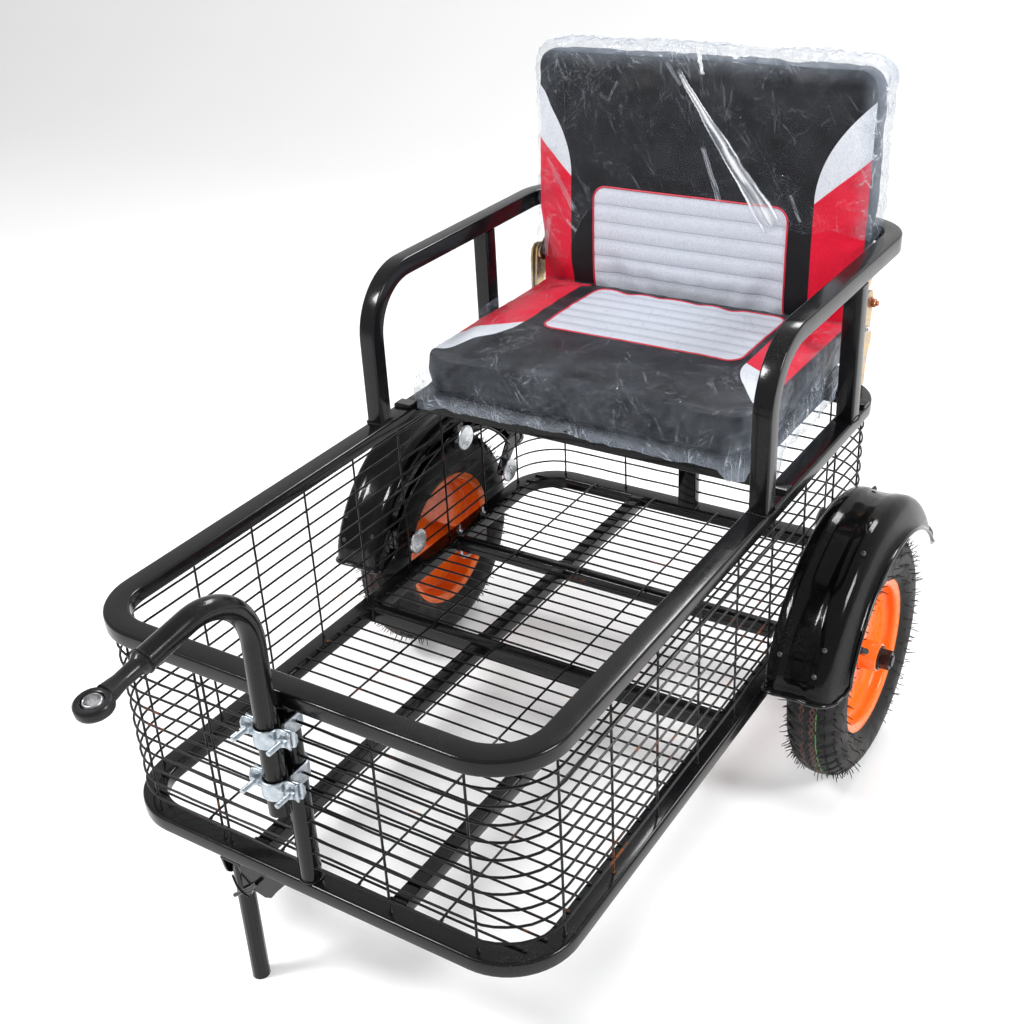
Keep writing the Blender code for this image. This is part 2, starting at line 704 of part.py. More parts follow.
def make_clamps():
    """Two clamps hold the drawbar to its post, each a saddle, a strap and two bolts."""
    bar_y, post_y = station(-DRAWBAR_AHEAD), station(post_station())
    inner = DRAWBAR_DIAMETER / 2 + GAP
    outer = inner + CLAMP_GAUGE
    face = bar_y + CLAMP_GAUGE / 3
    dip = math.asin((CLAMP_GAUGE - CLAMP_GAUGE / 3) / outer)
    rise = math.asin(CLAMP_GAUGE / 3 / inner)
    saddle = [(CLAMP_HALF_SPAN, face), (CLAMP_HALF_SPAN, face - CLAMP_GAUGE)]
    saddle += arc((0, bar_y), outer, -dip, dip - math.pi, COARSE_STEP)
    saddle += [(-CLAMP_HALF_SPAN, face - CLAMP_GAUGE), (-CLAMP_HALF_SPAN, face)]
    saddle += arc((0, bar_y), inner, -math.pi - rise, rise)

    wrap = POST_DIAMETER / 2 + GAP
    around = wrap + CLAMP_GAUGE
    near = face + GAP
    far = near + CLAMP_GAUGE
    back = [(CLAMP_HALF_SPAN, near), (CLAMP_HALF_SPAN, far), (around, far)]
    back += arc((0, post_y), around, 0, math.pi, COARSE_STEP)
    back += [(-around, far), (-CLAMP_HALF_SPAN, far), (-CLAMP_HALF_SPAN, near), (-wrap, near)]
    back += arc((0, post_y), wrap, math.pi, 0)
    back.append((wrap, near))

    for level, z in clamp_heights().items():
        lift = Matrix.Translation((0, 0, z))
        front = part(f"clamp_{level}_front", plate([saddle], CLAMP_HEIGHT, lift), "zinc")
        rear = part(f"clamp_{level}_rear", plate([back], CLAMP_HEIGHT, lift), "zinc")
        for side, word in ((-1, "left"), (1, "right")):
            x = side * CLAMP_BOLT_X
            bore = rod((x, face - CLAMP_HEIGHT, z), (x, far + CLAMP_HEIGHT, z), CLAMP_BOLT + 2 * GAP, 8)
            cut(front, bore)
            cut(rear, bore)
            head = far + GAP
            nut = face - CLAMP_GAUGE - GAP
            bolt = part(f"clamp_bolt_{level}_{word}",
                        hexagon((x, head, z), (x, head + BOLT_HEAD, z), BOLT_FLATS), "zinc")
            join(bolt, rod((x, nut - BOLT_HEAD - CLAMP_THREAD, z), (x, head + BOLT_HEAD / 2, z),
                           CLAMP_BOLT, 8),
                 hexagon((x, nut - BOLT_HEAD, z), (x, nut, z), BOLT_FLATS))


def leg_pivot():
    """The centre of the prop leg's pin."""
    return Vector((LEG_X, station(LEG_STATION), LOWER_BOTTOM - LEG_PIVOT_DROP))


def make_leg():
    """The prop leg, the two cheeks that carry it and their pin."""
    x, y, z = leg_pivot()
    inside = LEG_DIAMETER / 2 + 2 * GAP
    outside = inside + CHEEK_GAUGE
    top = LOWER_BOTTOM - GAP
    width = CHEEK_WIDTH / 2
    bracket = part("leg_bracket", block((x - outside, y - width, top - CHEEK_GAUGE),
                                        (x + outside, y + width, top)), "frame")
    cheek = [(y - width, top - CHEEK_GAUGE / 2), (y + width, top - CHEEK_GAUGE / 2)]
    cheek += arc((y, z), width * CHEEK_TIP_RATIO, 0, -math.pi, COARSE_STEP)
    for side in (-1, 1):
        middle = x + side * (inside + CHEEK_GAUGE / 2)
        join(bracket, plate([cheek], CHEEK_GAUGE, facing_x(middle)))
    bore = rod((x - 2 * outside, y, z), (x + 2 * outside, y, z), LEG_PIN + 2 * GAP, 12)
    cut(bracket, bore)

    leg = part("support_leg", rod((x, y, 0), (x, y, z + LEG_TOP), LEG_DIAMETER), "frame", smooth=True)
    origin = Matrix.Translation((x, y, z))
    leg.data.transform(origin.inverted())
    leg.matrix_basis = origin
    cut(leg, bore)

    head = outside + GAP
    pin = part("leg_pin", rod((x - head - PIN_HEAD / 2, y, z), (x + head + PIN_HEAD / 2, y, z),
                              LEG_PIN, 12), "zinc")
    for side in (-1, 1):
        join(pin, rod((x + side * head, y, z), (x + side * (head + PIN_HEAD), y, z),
                      LEG_PIN + 2 * PIN_HEAD, 12))


def u_bolt_x():
    """The axle's bolts stand on the rail between the floor net and the side net."""
    floor_edge = HALF_WIDTH - start_of_floor_net()
    return (floor_edge + HALF_WIDTH - NET_INSET - WIRE / 2) / 2


def u_bolt_stations():
    """The Y of the two legs of an axle bolt."""
    middle = station(AXLE_STATION)
    return middle - U_BOLT_HALF_SPAN, middle + U_BOLT_HALF_SPAN


def make_axle():
    """The through axle, and the block and bolt that hold it under each side rail."""
    y = station(AXLE_STATION)
    hub_end = WHEEL_X - HUB_INNER_REACH - GAP
    tip = WHEEL_X + HUB_OUTER_REACH + WASHER_THICK + NUT_HEIGHT + THREAD_SHOWING
    shaft, collar = AXLE_DIAMETER / 2, AXLE_DIAMETER / 2 + COLLAR_WALL
    inner = HALF_WIDTH + GAP
    half = [(0, tip), (shaft, tip), (shaft, hub_end), (collar, hub_end), (collar, inner), (shaft, inner)]
    profile = half + [(radius, -along) for radius, along in half[::-1]]
    turned("axle", profile, "steel", (0, y, AXLE_Z), steps=ROUND_SIDES, closed=False)

    x_low, x_high = HALF_WIDTH - RAIL_WIDE, HALF_WIDTH
    near, far = u_bolt_stations()
    dip = AXLE_Z - AXLE_DIAMETER / 2 - GAP - U_BOLT / 2
    corner = U_BOLT_HALF_SPAN * U_BOLT_ROUND_RATIO
    top = LOWER_TOP + GAP
    for side, word in ((-1, "left"), (1, "right")):
        ends = sorted((side * x_low, side * x_high))
        holder = part(f"axle_block_{word}", block((ends[0], y - BLOCK_LENGTH / 2, AXLE_Z),
                                                  (ends[1], y + BLOCK_LENGTH / 2, LOWER_BOTTOM - GAP)),
                      "frame")
        cut(holder, rod((-BASKET_WIDTH, y, AXLE_Z), (BASKET_WIDTH, y, AXLE_Z), AXLE_DIAMETER + 2 * GAP))
        x = side * u_bolt_x()
        reach = top + BOLT_HEAD + U_BOLT_SHOWING
        route = [(near, reach)]
        route += arc((near + corner, dip + corner), corner, math.pi, 1.5 * math.pi, COARSE_STEP)
        route += arc((far - corner, dip + corner), corner, -math.pi / 2, 0, COARSE_STEP)
        route.append((far, reach))
        bolt = part(f"axle_u_bolt_{word}", swept([(x, a, b) for a, b in route], U_BOLT, resolution=1),
                    "zinc")
        for leg in (near, far):
            join(bolt, hexagon((x, leg, top), (x, leg, top + BOLT_HEAD), BOLT_FLATS))


def tyre_profile():
    """Half section of the tyre, from its crown to its bead, then mirrored."""
    crown, bead = TYRE_DIAMETER / 2, RIM_DIAMETER / 2 + GAP
    lip = RIM_DIAMETER / 2 + RIM_FLANGE + 2 * GAP
    wide, depth = TYRE_WIDTH / 2, TYRE_DIAMETER / 2 - RIM_DIAMETER / 2
    seat = RIM_WIDTH / 2 - RIM_GAUGE - GAP
    sides = [(crown - depth * drop, wide * share) for drop, share in SIDEWALL_RATIOS]
    half = [(crown, TREAD_WIDTH / 4), *sides, (lip, RIM_WIDTH / 2), (lip, seat), (bead, seat)]
    return half + [(radius, -along) for radius, along in half[::-1]]


def rim_profile():
    """Section of the pressed rim: flanges, barrel, web and hub."""
    barrel, inside = RIM_DIAMETER / 2, RIM_DIAMETER / 2 - RIM_GAUGE
    edge, lip = RIM_WIDTH / 2, RIM_DIAMETER / 2 + RIM_FLANGE
    hub, bore = HUB_DIAMETER / 2, BEARING_DIAMETER / 2 + GAP
    web = WEB_OFFSET
    return [(bore, HUB_OUTER_REACH), (hub, HUB_OUTER_REACH), (hub, web + RIM_GAUGE),
            (inside, web + RIM_GAUGE), (inside, edge), (lip, edge), (lip, edge - RIM_GAUGE),
            (barrel, edge - RIM_GAUGE), (barrel, RIM_GAUGE - edge), (lip, RIM_GAUGE - edge),
            (lip, -edge), (inside, -edge), (inside, web), (hub, web), (hub, -HUB_INNER_REACH),
            (bore, -HUB_INNER_REACH)]


def bearing_profile():
    """Section of the pair of bearings with the spacer between them."""
    bore, race = AXLE_DIAMETER / 2 + GAP, BEARING_DIAMETER / 2
    spacer = bore + SPACER_WALL
    far, near = HUB_OUTER_REACH - GAP, GAP - HUB_INNER_REACH
    return [(bore, far), (race, far), (race, far - BEARING_WIDTH), (spacer, far - BEARING_WIDTH),
            (spacer, near + BEARING_WIDTH), (race, near + BEARING_WIDTH), (race, near), (bore, near)]


def make_wheels():
    """Each wheel: tyre, rim with hub, bearings, and the nut that keeps it on the axle."""
    y = station(AXLE_STATION)
    for side, word in ((-1, "left"), (1, "right")):
        centre = (side * WHEEL_X, y, AXLE_Z)
        turned(f"tyre_{word}", tyre_profile(), "rubber", centre, side)
        turned(f"rim_{word}", rim_profile(), "orange", centre, side)
        turned(f"hub_bearing_{word}", bearing_profile(), "steel", centre, side, ROUND_SIDES)
        face = side * (WHEEL_X + HUB_OUTER_REACH + GAP)
        seat = face + side * WASHER_THICK
        end = seat + side * NUT_HEIGHT
        nut = part(f"axle_nut_{word}", rod((face, y, AXLE_Z), (seat, y, AXLE_Z), WASHER_DIAMETER, 20),
                   "zinc")
        join(nut, hexagon((seat - side * WASHER_THICK / 2, y, AXLE_Z), (end, y, AXLE_Z), NUT_FLATS))
        cut(nut, rod((face - side * NUT_HEIGHT, y, AXLE_Z), (end + side * NUT_HEIGHT, y, AXLE_Z),
                     AXLE_DIAMETER + 2 * GAP, 20))


def fender_section():
    """Radius and outward distance of the fender's section, from its inner flange outwards."""
    inner = HALF_WIDTH + FENDER_CLEAR + FENDER_GAUGE / 2
    top = FENDER_RADIUS - FENDER_GAUGE / 2
    ease = FENDER_GAUGE * 2
    skirt = FENDER_SKIRT * SKIRT_BEND_RATIO
    ridge = inner + FENDER_FLAT
    return [(top - FENDER_FLANGE, inner), (top - ease, inner), (top, inner + ease), (top, ridge),
            (top - skirt, ridge + FENDER_FLARE * FLARE_BEND_RATIO),
            (top - FENDER_SKIRT, ridge + FENDER_FLARE)]


def fender_mesh(side):
    """Sweep the fender's section about the axle, as an open surface."""
    form = bmesh.new()
    section = [(side * along, radius) for radius, along in fender_section()]
    corners = [form.verts.new((x, 0, radius)) for x, radius in section]
    edges = [form.edges.new(pair) for pair in zip(corners, corners[1:])]
    to_rear = Matrix.Rotation(FENDER_REAR_ANGLE - math.pi / 2, 3, "X")
    bmesh.ops.rotate(form, cent=(0, 0, 0), matrix=to_rear, verts=form.verts)
    bmesh.ops.spin(form, geom=corners + edges, cent=(0, 0, 0), axis=(1, 0, 0),
                   angle=FENDER_FRONT_ANGLE - FENDER_REAR_ANGLE, steps=FENDER_STEPS)
    bmesh.ops.recalc_face_normals(form, faces=form.faces)
    bmesh.ops.translate(form, vec=(0, station(AXLE_STATION), AXLE_Z), verts=form.verts)
    return mesh_of(form)


def make_fenders():
    """A pressed fender over each wheel, with three lugs bolted through the side net."""
    axle_y = station(AXLE_STATION)
    for side, word in ((-1, "left"), (1, "right")):
        fender = part(f"fender_{word}", fender_mesh(side), "fender", smooth=True)
        shell = fender.modifiers.new("gauge", "SOLIDIFY")
        shell.thickness = FENDER_GAUGE
        shell.offset = 0
        shell.use_even_offset = True
        plane = side * (HALF_WIDTH + FENDER_CLEAR + FENDER_GAUGE / 2)
        thick = FENDER_GAUGE * LUG_GAUGE_RATIO
        washer = side * (HALF_WIDTH - NET_INSET - WIRE / 2 - GAP)
        for place, (along, up) in LUG_PLACES.items():
            y, z = axle_y + along, AXLE_Z + up
            reach = FENDER_RADIUS - FENDER_FLANGE + LUG_RADIUS
            turn = math.atan2(up, along)
            turn = min(max(turn, FENDER_REAR_ANGLE + LUG_TURN), FENDER_FRONT_ANGLE - LUG_TURN)
            root = (axle_y + reach * math.cos(turn), AXLE_Z + reach * math.sin(turn))
            lug = strap((y, z), root, 2 * LUG_RADIUS, 2 * LUG_RADIUS * LUG_ROOT_RATIO)
            join(fender, plate([lug], thick, facing_x(plane)))
            cut(fender, rod((plane - LUG_RADIUS, y, z), (plane + LUG_RADIUS, y, z),
                            FENDER_BOLT + 2 * GAP, 8))
            head = plane + side * (thick / 2 + GAP)
            bolt = part(f"fender_bolt_{word}_{place}",
                        rod((washer - side * BIG_WASHER_THICK, y, z), (washer, y, z), BIG_WASHER),
                        "zinc")
            join(bolt, rod((washer - side * (BIG_WASHER_THICK + BOLT_HEAD / 2), y, z),
                           (head + side * BOLT_HEAD / 2, y, z), FENDER_BOLT, 8),
                 hexagon((head, y, z), (head + side * BOLT_HEAD, y, z), BOLT_FLATS))


def make_armrests():
    """One tube from the left armrest, round the back, to the right armrest, and two posts."""
    front, rear = station(ARM_STATION), station(ARM_REAR_STATION)
    foot = UPPER_TOP + GAP
    rise = arc((front + ARM_BEND, ARM_Z - ARM_BEND), ARM_BEND, math.pi, math.pi / 2)
    left = [(-ARM_X, front, foot)] + [(-ARM_X, y, z) for y, z in rise]
    turn = arc((-ARM_X + ARM_CORNER, rear - ARM_CORNER), ARM_CORNER, math.pi, math.pi / 2)
    left += [(x, y, ARM_Z) for x, y in turn]
    path = left + [(-x, y, z) for x, y, z in left[::-1]]
    section = tube_section(ARM_TUBE, ARM_TUBE)
    part("armrest_frame", swept(path, section), "frame", smooth=True)
    y = station(REAR_ARM_POST_STATION)
    half = ARM_TUBE / 2
    for side, word in ((-1, "left"), (1, "right")):
        post = part(f"armrest_post_{word}",
                    block((side * ARM_X - half, y - half, foot),
                          (side * ARM_X + half, y + half, ARM_Z - half - GAP)), "frame")
        round_edges(post, POST_EDGE)


def pad_rows(length, channels, pitch, shift):
    """The rows of a cushion's cage along its length, and whether each lies in a sewn seam."""
    half = length / 2
    low, high = shift - channels * pitch / 2, shift + channels * pitch / 2
    rows = [(-half, False), ((low - half) / 2, False)]
    rows += [(low + i * pitch / 2, i % 2 == 0) for i in range(2 * channels + 1)]
    return rows + [((high + half) / 2, False), (half, False)]


def pad_mesh(width, length, thick, crown, channels, pitch, panel, shift):
    """A cushion's cage, crown up: width in X, length in Y, its flat back at Z = 0.

    The sewn channels cross a panel of its own width, whose middle is shifted along Y.
    """
    rows = pad_rows(length, channels, pitch, shift)
    columns = [x * side for side, x in ((-1, width / 2), (-1, panel / 2), (0, 0), (1, panel / 2),
                                        (1, width / 2))]
    form = bmesh.new()
    crease = form.edges.layers.float.new("crease_edge")
    counts = len(columns) - 1, len(rows) - 1
    bmesh.ops.create_grid(form, x_segments=counts[0], y_segments=counts[1], size=0.5)
    for v in form.verts:
        x = columns[round((v.co.x + 0.5) * counts[0])]
        y, seam = rows[round((v.co.y + 0.5) * counts[1])]
        u, t = 2 * x / width, 2 * y / length
        swell = (1 - u ** 4) * (1 - t ** 4)
        sewn = CHANNEL_DEPTH if seam and abs(x) <= panel / 2 else 0
        v.co = (x, y, thick + crown * swell - sewn)
    round_corners(form.verts, width, length)
    for height, draw in PAD_SIDE_RATIOS:
        boundary = [edge for edge in form.edges if edge.is_boundary]
        grown = bmesh.ops.extrude_edge_only(form, edges=boundary)["geom"]
        for v in (thing for thing in grown if isinstance(thing, bmesh.types.BMVert)):
            v.co = (v.co.x * draw, v.co.y * draw, thick * height)
    boundary = [edge for edge in form.edges if edge.is_boundary]
    bmesh.ops.contextual_create(form, geom=boundary)
    for edge in boundary:
        edge[crease] = 1
    bmesh.ops.recalc_face_normals(form, faces=form.faces)
    return mesh_of(form)


def round_corners(verts, width, length):
    """Pull the corners of a cushion's outline in to a radius."""
    for v in verts:
        beyond = Vector((max(0, abs(v.co.x) - width / 2 + PAD_CORNER),
                         max(0, abs(v.co.y) - length / 2 + PAD_CORNER)))
        if beyond.length > PAD_CORNER:
            keep = PAD_CORNER / beyond.length
            v.co.x = math.copysign(width / 2 - PAD_CORNER + beyond.x * keep, v.co.x)
            v.co.y = math.copysign(length / 2 - PAD_CORNER + beyond.y * keep, v.co.y)


def make_pad(name, mesh, matrix, parent=None):
    """A cushion from its cage, smoothed once."""
    pad = part(name, mesh, "padding", smooth=True, parent=parent)
    pad.matrix_basis = matrix
    form = pad.modifiers.new("soft", "SUBSURF")
    form.levels = 1
    form.render_levels = 1
    split = pad.modifiers.new("split", "TRIANGULATE")
    split.quad_method = "FIXED"
    return pad


def make_seat():
    """The two cross tubes on the upper loop, the seat's board and its cushion."""
    low = UPPER_TOP + GAP
    high = UPPER_TOP + SUPPORT_TUBE
    half = HALF_WIDTH - GAP
    for word, middle in (("front", SUPPORT_FRONT_STATION), ("rear", SUPPORT_REAR_STATION)):
        y = station(middle)
        bar = part(f"seat_support_{word}", block((-half, y - SUPPORT_TUBE / 2, low),
                                                 (half, y + SUPPORT_TUBE / 2, high)), "frame")
        round_edges(bar, TUBE_EDGE / 2)
    front, rear = station(SEAT_FRONT_STATION), station(SEAT_FRONT_STATION + SEAT_DEPTH)
    base = high + GAP
    board = plate([board_outline(SEAT_WIDTH, SEAT_DEPTH)], SEAT_BOARD,
                  Matrix.Translation((0, (front + rear) / 2, base + SEAT_BOARD / 2)))
    part("seat_board", board, "board")
    pad = pad_mesh(SEAT_WIDTH, SEAT_DEPTH, SEAT_PAD, SEAT_CROWN, SEAT_CHANNELS, SEAT_CHANNEL_PITCH,
                   SEAT_PANEL_WIDTH, SEAT_PANEL_SHIFT)
    make_pad("seat_cushion", pad,
             Matrix.Translation((0, (front + rear) / 2, base + SEAT_BOARD + GAP)))


def board_outline(width, length):
    """A board's rounded rectangle about its own middle."""
    x, y = width / 2 - PAD_CORNER, length / 2 - PAD_CORNER
    points = []
    for a, b, first in ((x, y, 0), (-x, y, 90), (-x, -y, 180), (x, -y, 270)):
        turn = math.radians(first)
        points += arc((a, b), PAD_CORNER, turn, turn + math.pi / 2, math.radians(23))
    return points


def back_pivot():
    """A point on the backrest's hinge axis."""
    return Vector((0, station(BACK_PIVOT_STATION), SEAT_TOP + BACK_PIVOT_RISE))


def make_backrest():
    """The folding backrest: its board, cushion and hinge arms, on an empty at the hinge."""
    hinge = bpy.data.objects.new("backrest_hinge", None)
    CUTTERS.objects.link(hinge)
    hinge.matrix_basis = Matrix.Translation(back_pivot()) @ Matrix.Rotation(-BACK_LEAN, 4, "X")
    plate_x = SEAT_WIDTH / 2 + HINGE_CLEAR + HINGE_GAUGE + 2 * HINGE_CLEAR
    arm_x = SEAT_WIDTH / 2 + HINGE_CLEAR

    middle = BACK_HEIGHT / 2 - BACK_BELOW_PIVOT
    upright = Matrix.Rotation(math.pi / 2, 4, "X")
    back_face = -BACK_FACE_AHEAD + BACK_PAD
    pad = pad_mesh(SEAT_WIDTH, BACK_HEIGHT, BACK_PAD - BACK_CROWN, BACK_CROWN, BACK_CHANNELS,
                   BACK_CHANNEL_PITCH, BACK_PANEL_WIDTH, BACK_PANEL_SHIFT)
    make_pad("back_cushion", pad, Matrix.Translation((0, back_face, middle)) @ upright, hinge)
    board_width = SEAT_WIDTH - 2 * BACK_BOARD_MARGIN
    board = plate([board_outline(board_width, BACK_HEIGHT - 2 * BACK_BOARD_MARGIN)],
                  BACK_BOARD, Matrix.Translation((0, back_face + GAP + BACK_BOARD / 2, middle)) @ upright)
    part("back_board", board, "board", parent=hinge)

    board_rear = back_face + BACK_BOARD + 2 * GAP
    for side, word in ((-1, "left"), (1, "right")):
        x = side * (arm_x + HINGE_GAUGE / 2)
        outline = strap((0, 0), (board_rear + HINGE_GAUGE - HINGE_ARM_WIDTH / 2, HINGE_ARM_REACH),
                        HINGE_EYE, HINGE_ARM_WIDTH)
        hole = circle((0, 0), HINGE_PIN / 2 + GAP)
        arm = part(f"hinge_arm_{word}", plate([outline, hole], HINGE_GAUGE, facing_x(x)), "gold",
                   parent=hinge)
        ends = sorted((side * (arm_x + HINGE_GAUGE / 2), side * (board_width / 2 - HINGE_FLANGE / 2)))
        join(arm, block((ends[0], board_rear, HINGE_ARM_REACH - HINGE_FLANGE / 2),
                        (ends[1], board_rear + HINGE_GAUGE, HINGE_ARM_REACH + HINGE_FLANGE / 2)))
        make_hinge_plate(side, word, plate_x)


def make_hinge_plate(side, word, near):
    """The fixed half of one hinge: a strap on the upper loop's corner, with its foot and pin."""
    y, z = back_pivot()[1:]
    x = side * (near + HINGE_GAUGE / 2)
    foot_y = y - HINGE_FOOT
    base = UPPER_TOP + GAP
    outline = strap((foot_y, base + HINGE_FOOT / 2), (y, z), HINGE_FOOT, HINGE_EYE)
    fixed = part(f"hinge_plate_{word}", plate([outline], HINGE_GAUGE, facing_x(x)), "gold")
    ends = sorted((side * (near - HINGE_FOOT / 2), side * (near + HINGE_GAUGE)))
    join(fixed, block((ends[0], foot_y - HINGE_FOOT / 2, base),
                      (ends[1], foot_y + HINGE_FOOT / 2, base + HINGE_GAUGE)),
         rod((side * (near - HINGE_CLEAR - HINGE_GAUGE - HINGE_CLEAR), y, z),
             (side * (near + HINGE_GAUGE / 2), y, z), HINGE_PIN, 12),
         hexagon((side * (near + HINGE_GAUGE / 2), y, z),
                 (side * (near + HINGE_GAUGE + BOLT_HEAD), y, z), HINGE_HEAD))


def main():
    """Build the whole trailer."""
    make_rails()
    make_floor_frame()
    make_nets()
    make_posts()
    make_drawbar()
    make_clamps()
    make_leg()
    make_axle()
    make_wheels()
    make_fenders()
    make_armrests()
    make_seat()
    make_backrest()


main()
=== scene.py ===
"""A bicycle trailer with a wire basket and a folding seat, dressed over its CAD frame."""

import math
import random

import bmesh
import bpy
from mathutils import Matrix, Vector, geometry, noise
from mathutils.bvhtree import BVHTree


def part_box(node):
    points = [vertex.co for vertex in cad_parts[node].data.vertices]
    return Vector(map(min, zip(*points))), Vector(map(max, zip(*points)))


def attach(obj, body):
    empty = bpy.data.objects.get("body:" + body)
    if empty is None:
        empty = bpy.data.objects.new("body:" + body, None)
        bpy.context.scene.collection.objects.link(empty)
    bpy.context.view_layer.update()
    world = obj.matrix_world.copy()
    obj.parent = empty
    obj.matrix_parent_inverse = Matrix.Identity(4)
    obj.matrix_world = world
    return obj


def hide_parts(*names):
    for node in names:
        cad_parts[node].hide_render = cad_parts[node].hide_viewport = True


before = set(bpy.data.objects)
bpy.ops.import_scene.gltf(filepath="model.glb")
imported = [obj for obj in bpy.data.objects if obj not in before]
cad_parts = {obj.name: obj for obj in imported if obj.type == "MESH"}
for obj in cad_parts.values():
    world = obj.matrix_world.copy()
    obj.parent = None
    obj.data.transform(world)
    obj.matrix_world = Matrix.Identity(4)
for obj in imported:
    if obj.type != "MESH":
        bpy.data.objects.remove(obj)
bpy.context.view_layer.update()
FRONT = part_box("lower_frame")[0][1]
SIDES = ((-1, "left"), (1, "right"))
ORIGIN = Vector((0, 0, 0))


# ---------------------------------------------------------------- materials
class Value:
    """A node's output, on which sums are written as sums."""

    def __init__(self, look, socket):
        self.look, self.socket = look, socket

    def __add__(self, other):
        return self.look.math("ADD", self, other)

    def __radd__(self, other):
        return self.look.math("ADD", other, self)

    def __sub__(self, other):
        return self.look.math("SUBTRACT", self, other)

    def __mul__(self, other):
        return self.look.math("MULTIPLY", self, other)

    def __rmul__(self, other):
        return self.look.math("MULTIPLY", other, self)

    def __truediv__(self, other):
        return self.look.math("DIVIDE", self, other)

    def __abs__(self):
        return self.look.math("ABSOLUTE", self)


class Look:
    """A Principled material whose colour, roughness and bump come from nodes in metres."""

    def __init__(self, name, colour, roughness, metallic=0.0, **sockets):
        self.material = bpy.data.materials.new(name)
        self.material.use_nodes = True
        self.material.diffuse_color = (*colour, 1)
        self.tree = self.material.node_tree
        self.shader = self.tree.nodes["Principled BSDF"]
        self.coords = Value(self, self.tree.nodes.new("ShaderNodeTexCoord").outputs["Object"])
        self.set("Base Color", (*colour, 1))
        self.set("Roughness", roughness)
        self.set("Metallic", metallic)
        for socket, value in sockets.items():
            self.set(socket.replace("_", " "), value)

    def set(self, socket, value):
        """Give one input of the shader a number, a colour or another node's output."""
        self.feed(self.shader.inputs[socket], value)

    def feed(self, socket, value):
        """Give any input a constant or a link."""
        if isinstance(value, Value):
            self.tree.links.new(value.socket, socket)
        else:
            socket.default_value = value

    def node(self, kind, output=0, inputs=(), **settings):
        """Add a node, and return one of its outputs."""
        made = self.tree.nodes.new("ShaderNode" + kind)
        for setting, value in settings.items():
            setattr(made, setting, value)
        for key, value in dict(inputs).items():
            self.feed(made.inputs[key], value)
        return Value(self, made.outputs[output])

    def noise(self, size, detail=2.0, roughness=0.5, distortion=0.0, stretch=None, coords=None):
        """Noise whose grain is this many metres wide."""
        place = coords or self.coords
        if stretch:
            place = self.node("Mapping", inputs={0: place, 3: stretch})
        return self.node("TexNoise", inputs={"Vector": place, "Scale": 1 / size, "Detail": detail,
                                             "Roughness": roughness, "Distortion": distortion})

    def math(self, operation, a, b=0.0, clamp=False):
        """One sum on two values."""
        return self.node("Math", inputs={0: a, 1: b}, operation=operation, use_clamp=clamp)

    def largest(self, first, *others):
        """The largest of some values."""
        for other in others:
            first = self.math("MAXIMUM", first, other)
        return first

    def between(self, value, low, high, start=0.0, end=1.0):
        """Spread low to high over start to end, smoothly."""
        return self.node("MapRange", inputs={0: value, 1: low, 2: high, 3: start, 4: end},
                         interpolation_type="SMOOTHSTEP")

    def fades(self, value, low, high):
        """1 below low and 0 above high."""
        return self.between(value, low, high, 1.0, 0.0)

    def mix(self, share, a, b):
        """Mix two colours."""
        made = self.tree.nodes.new("ShaderNodeMix")
        made.data_type = "RGBA"
        for socket, value in ((made.inputs[0], share), (made.inputs[6], a), (made.inputs[7], b)):
            if isinstance(value, tuple) and len(value) == 3:
                value = (*value, 1)
            self.feed(socket, value)
        return Value(self, made.outputs[2])

    def axis(self, which):
        """One coordinate of the place on the surface."""
        return self.node("SeparateXYZ", "XYZ".index(which), {0: self.coords})

    def bump(self, *layers):
        """Stack bumps, each a height, a strength and a depth in metres."""
        normal = None
        for height, strength, depth in layers:
            inputs = {"Strength": strength, "Distance": depth, "Height": height}
            if normal:
                inputs["Normal"] = normal
            normal = self.node("Bump", inputs=inputs)
        self.set("Normal", normal)
        return self


def painted(name, colour, dusty, roughness, peel=0.0012, coat=0.16):
    """Sprayed gloss paint: an orange peel, slow patches, faint dust."""
    look = Look(name, colour, roughness, IOR=1.28, Coat_Weight=coat, Coat_Roughness=0.05)
    patches = look.noise(0.09, 4, 0.6)
    specks = look.noise(0.0016, 2, 0.7)
    dust = look.between(patches, 0.45, 0.8) * look.between(specks, 0.5, 0.75)
    look.set("Base Color", look.mix(dust, colour, dusty))
    look.set("Roughness", look.between(look.noise(0.03, 5, 0.65), 0.3, 0.75, roughness * 0.75,
                                       roughness * 1.5))
    look.bump((look.noise(peel * 4, 2), 0.10, 0.0006), (look.noise(peel, 1), 0.12, 0.0002))
    return look


def rusty_wire(name):
    """The nets' thin black paint, with rust coming through in a few places."""
    look = painted(name, (0.006, 0.006, 0.007), (0.05, 0.05, 0.052), 0.32, 0.0006, 0.1)
    place = look.noise(0.085, 3, 0.6)
    grain = look.noise(0.006, 4, 0.7)
    rust = look.between(place, 0.63, 0.73) * look.between(grain, 0.4, 0.6)
    stain = look.mix(look.noise(0.004, 3), (0.30, 0.085, 0.016), (0.10, 0.028, 0.008))
    base = Value(look, look.shader.inputs["Base Color"].links[0].from_socket)
    look.set("Base Color", look.mix(rust, base, stain))
    look.set("Roughness", look.between(rust, 0, 1, 0.30, 0.8))
    return look


def plated(name, colour, tint, roughness):
    """Zinc plate: bright metal with cloudy patches and fine rolling marks."""
    look = Look(name, colour, roughness, 1.0)
    cloud = look.noise(0.012, 4, 0.6, 0.4)
    look.set("Base Color", look.mix(look.between(cloud, 0.35, 0.7), colour, tint))
    look.set("Roughness", look.between(look.noise(0.004, 4, 0.7), 0.3, 0.7, roughness * 0.7,
                                       roughness * 1.6))
    look.bump((look.noise(0.0009, 3, 0.6, stretch=(1, 1, 0.15)), 0.12, 0.0001),
              (look.noise(0.02, 2), 0.08, 0.0005))
    return look


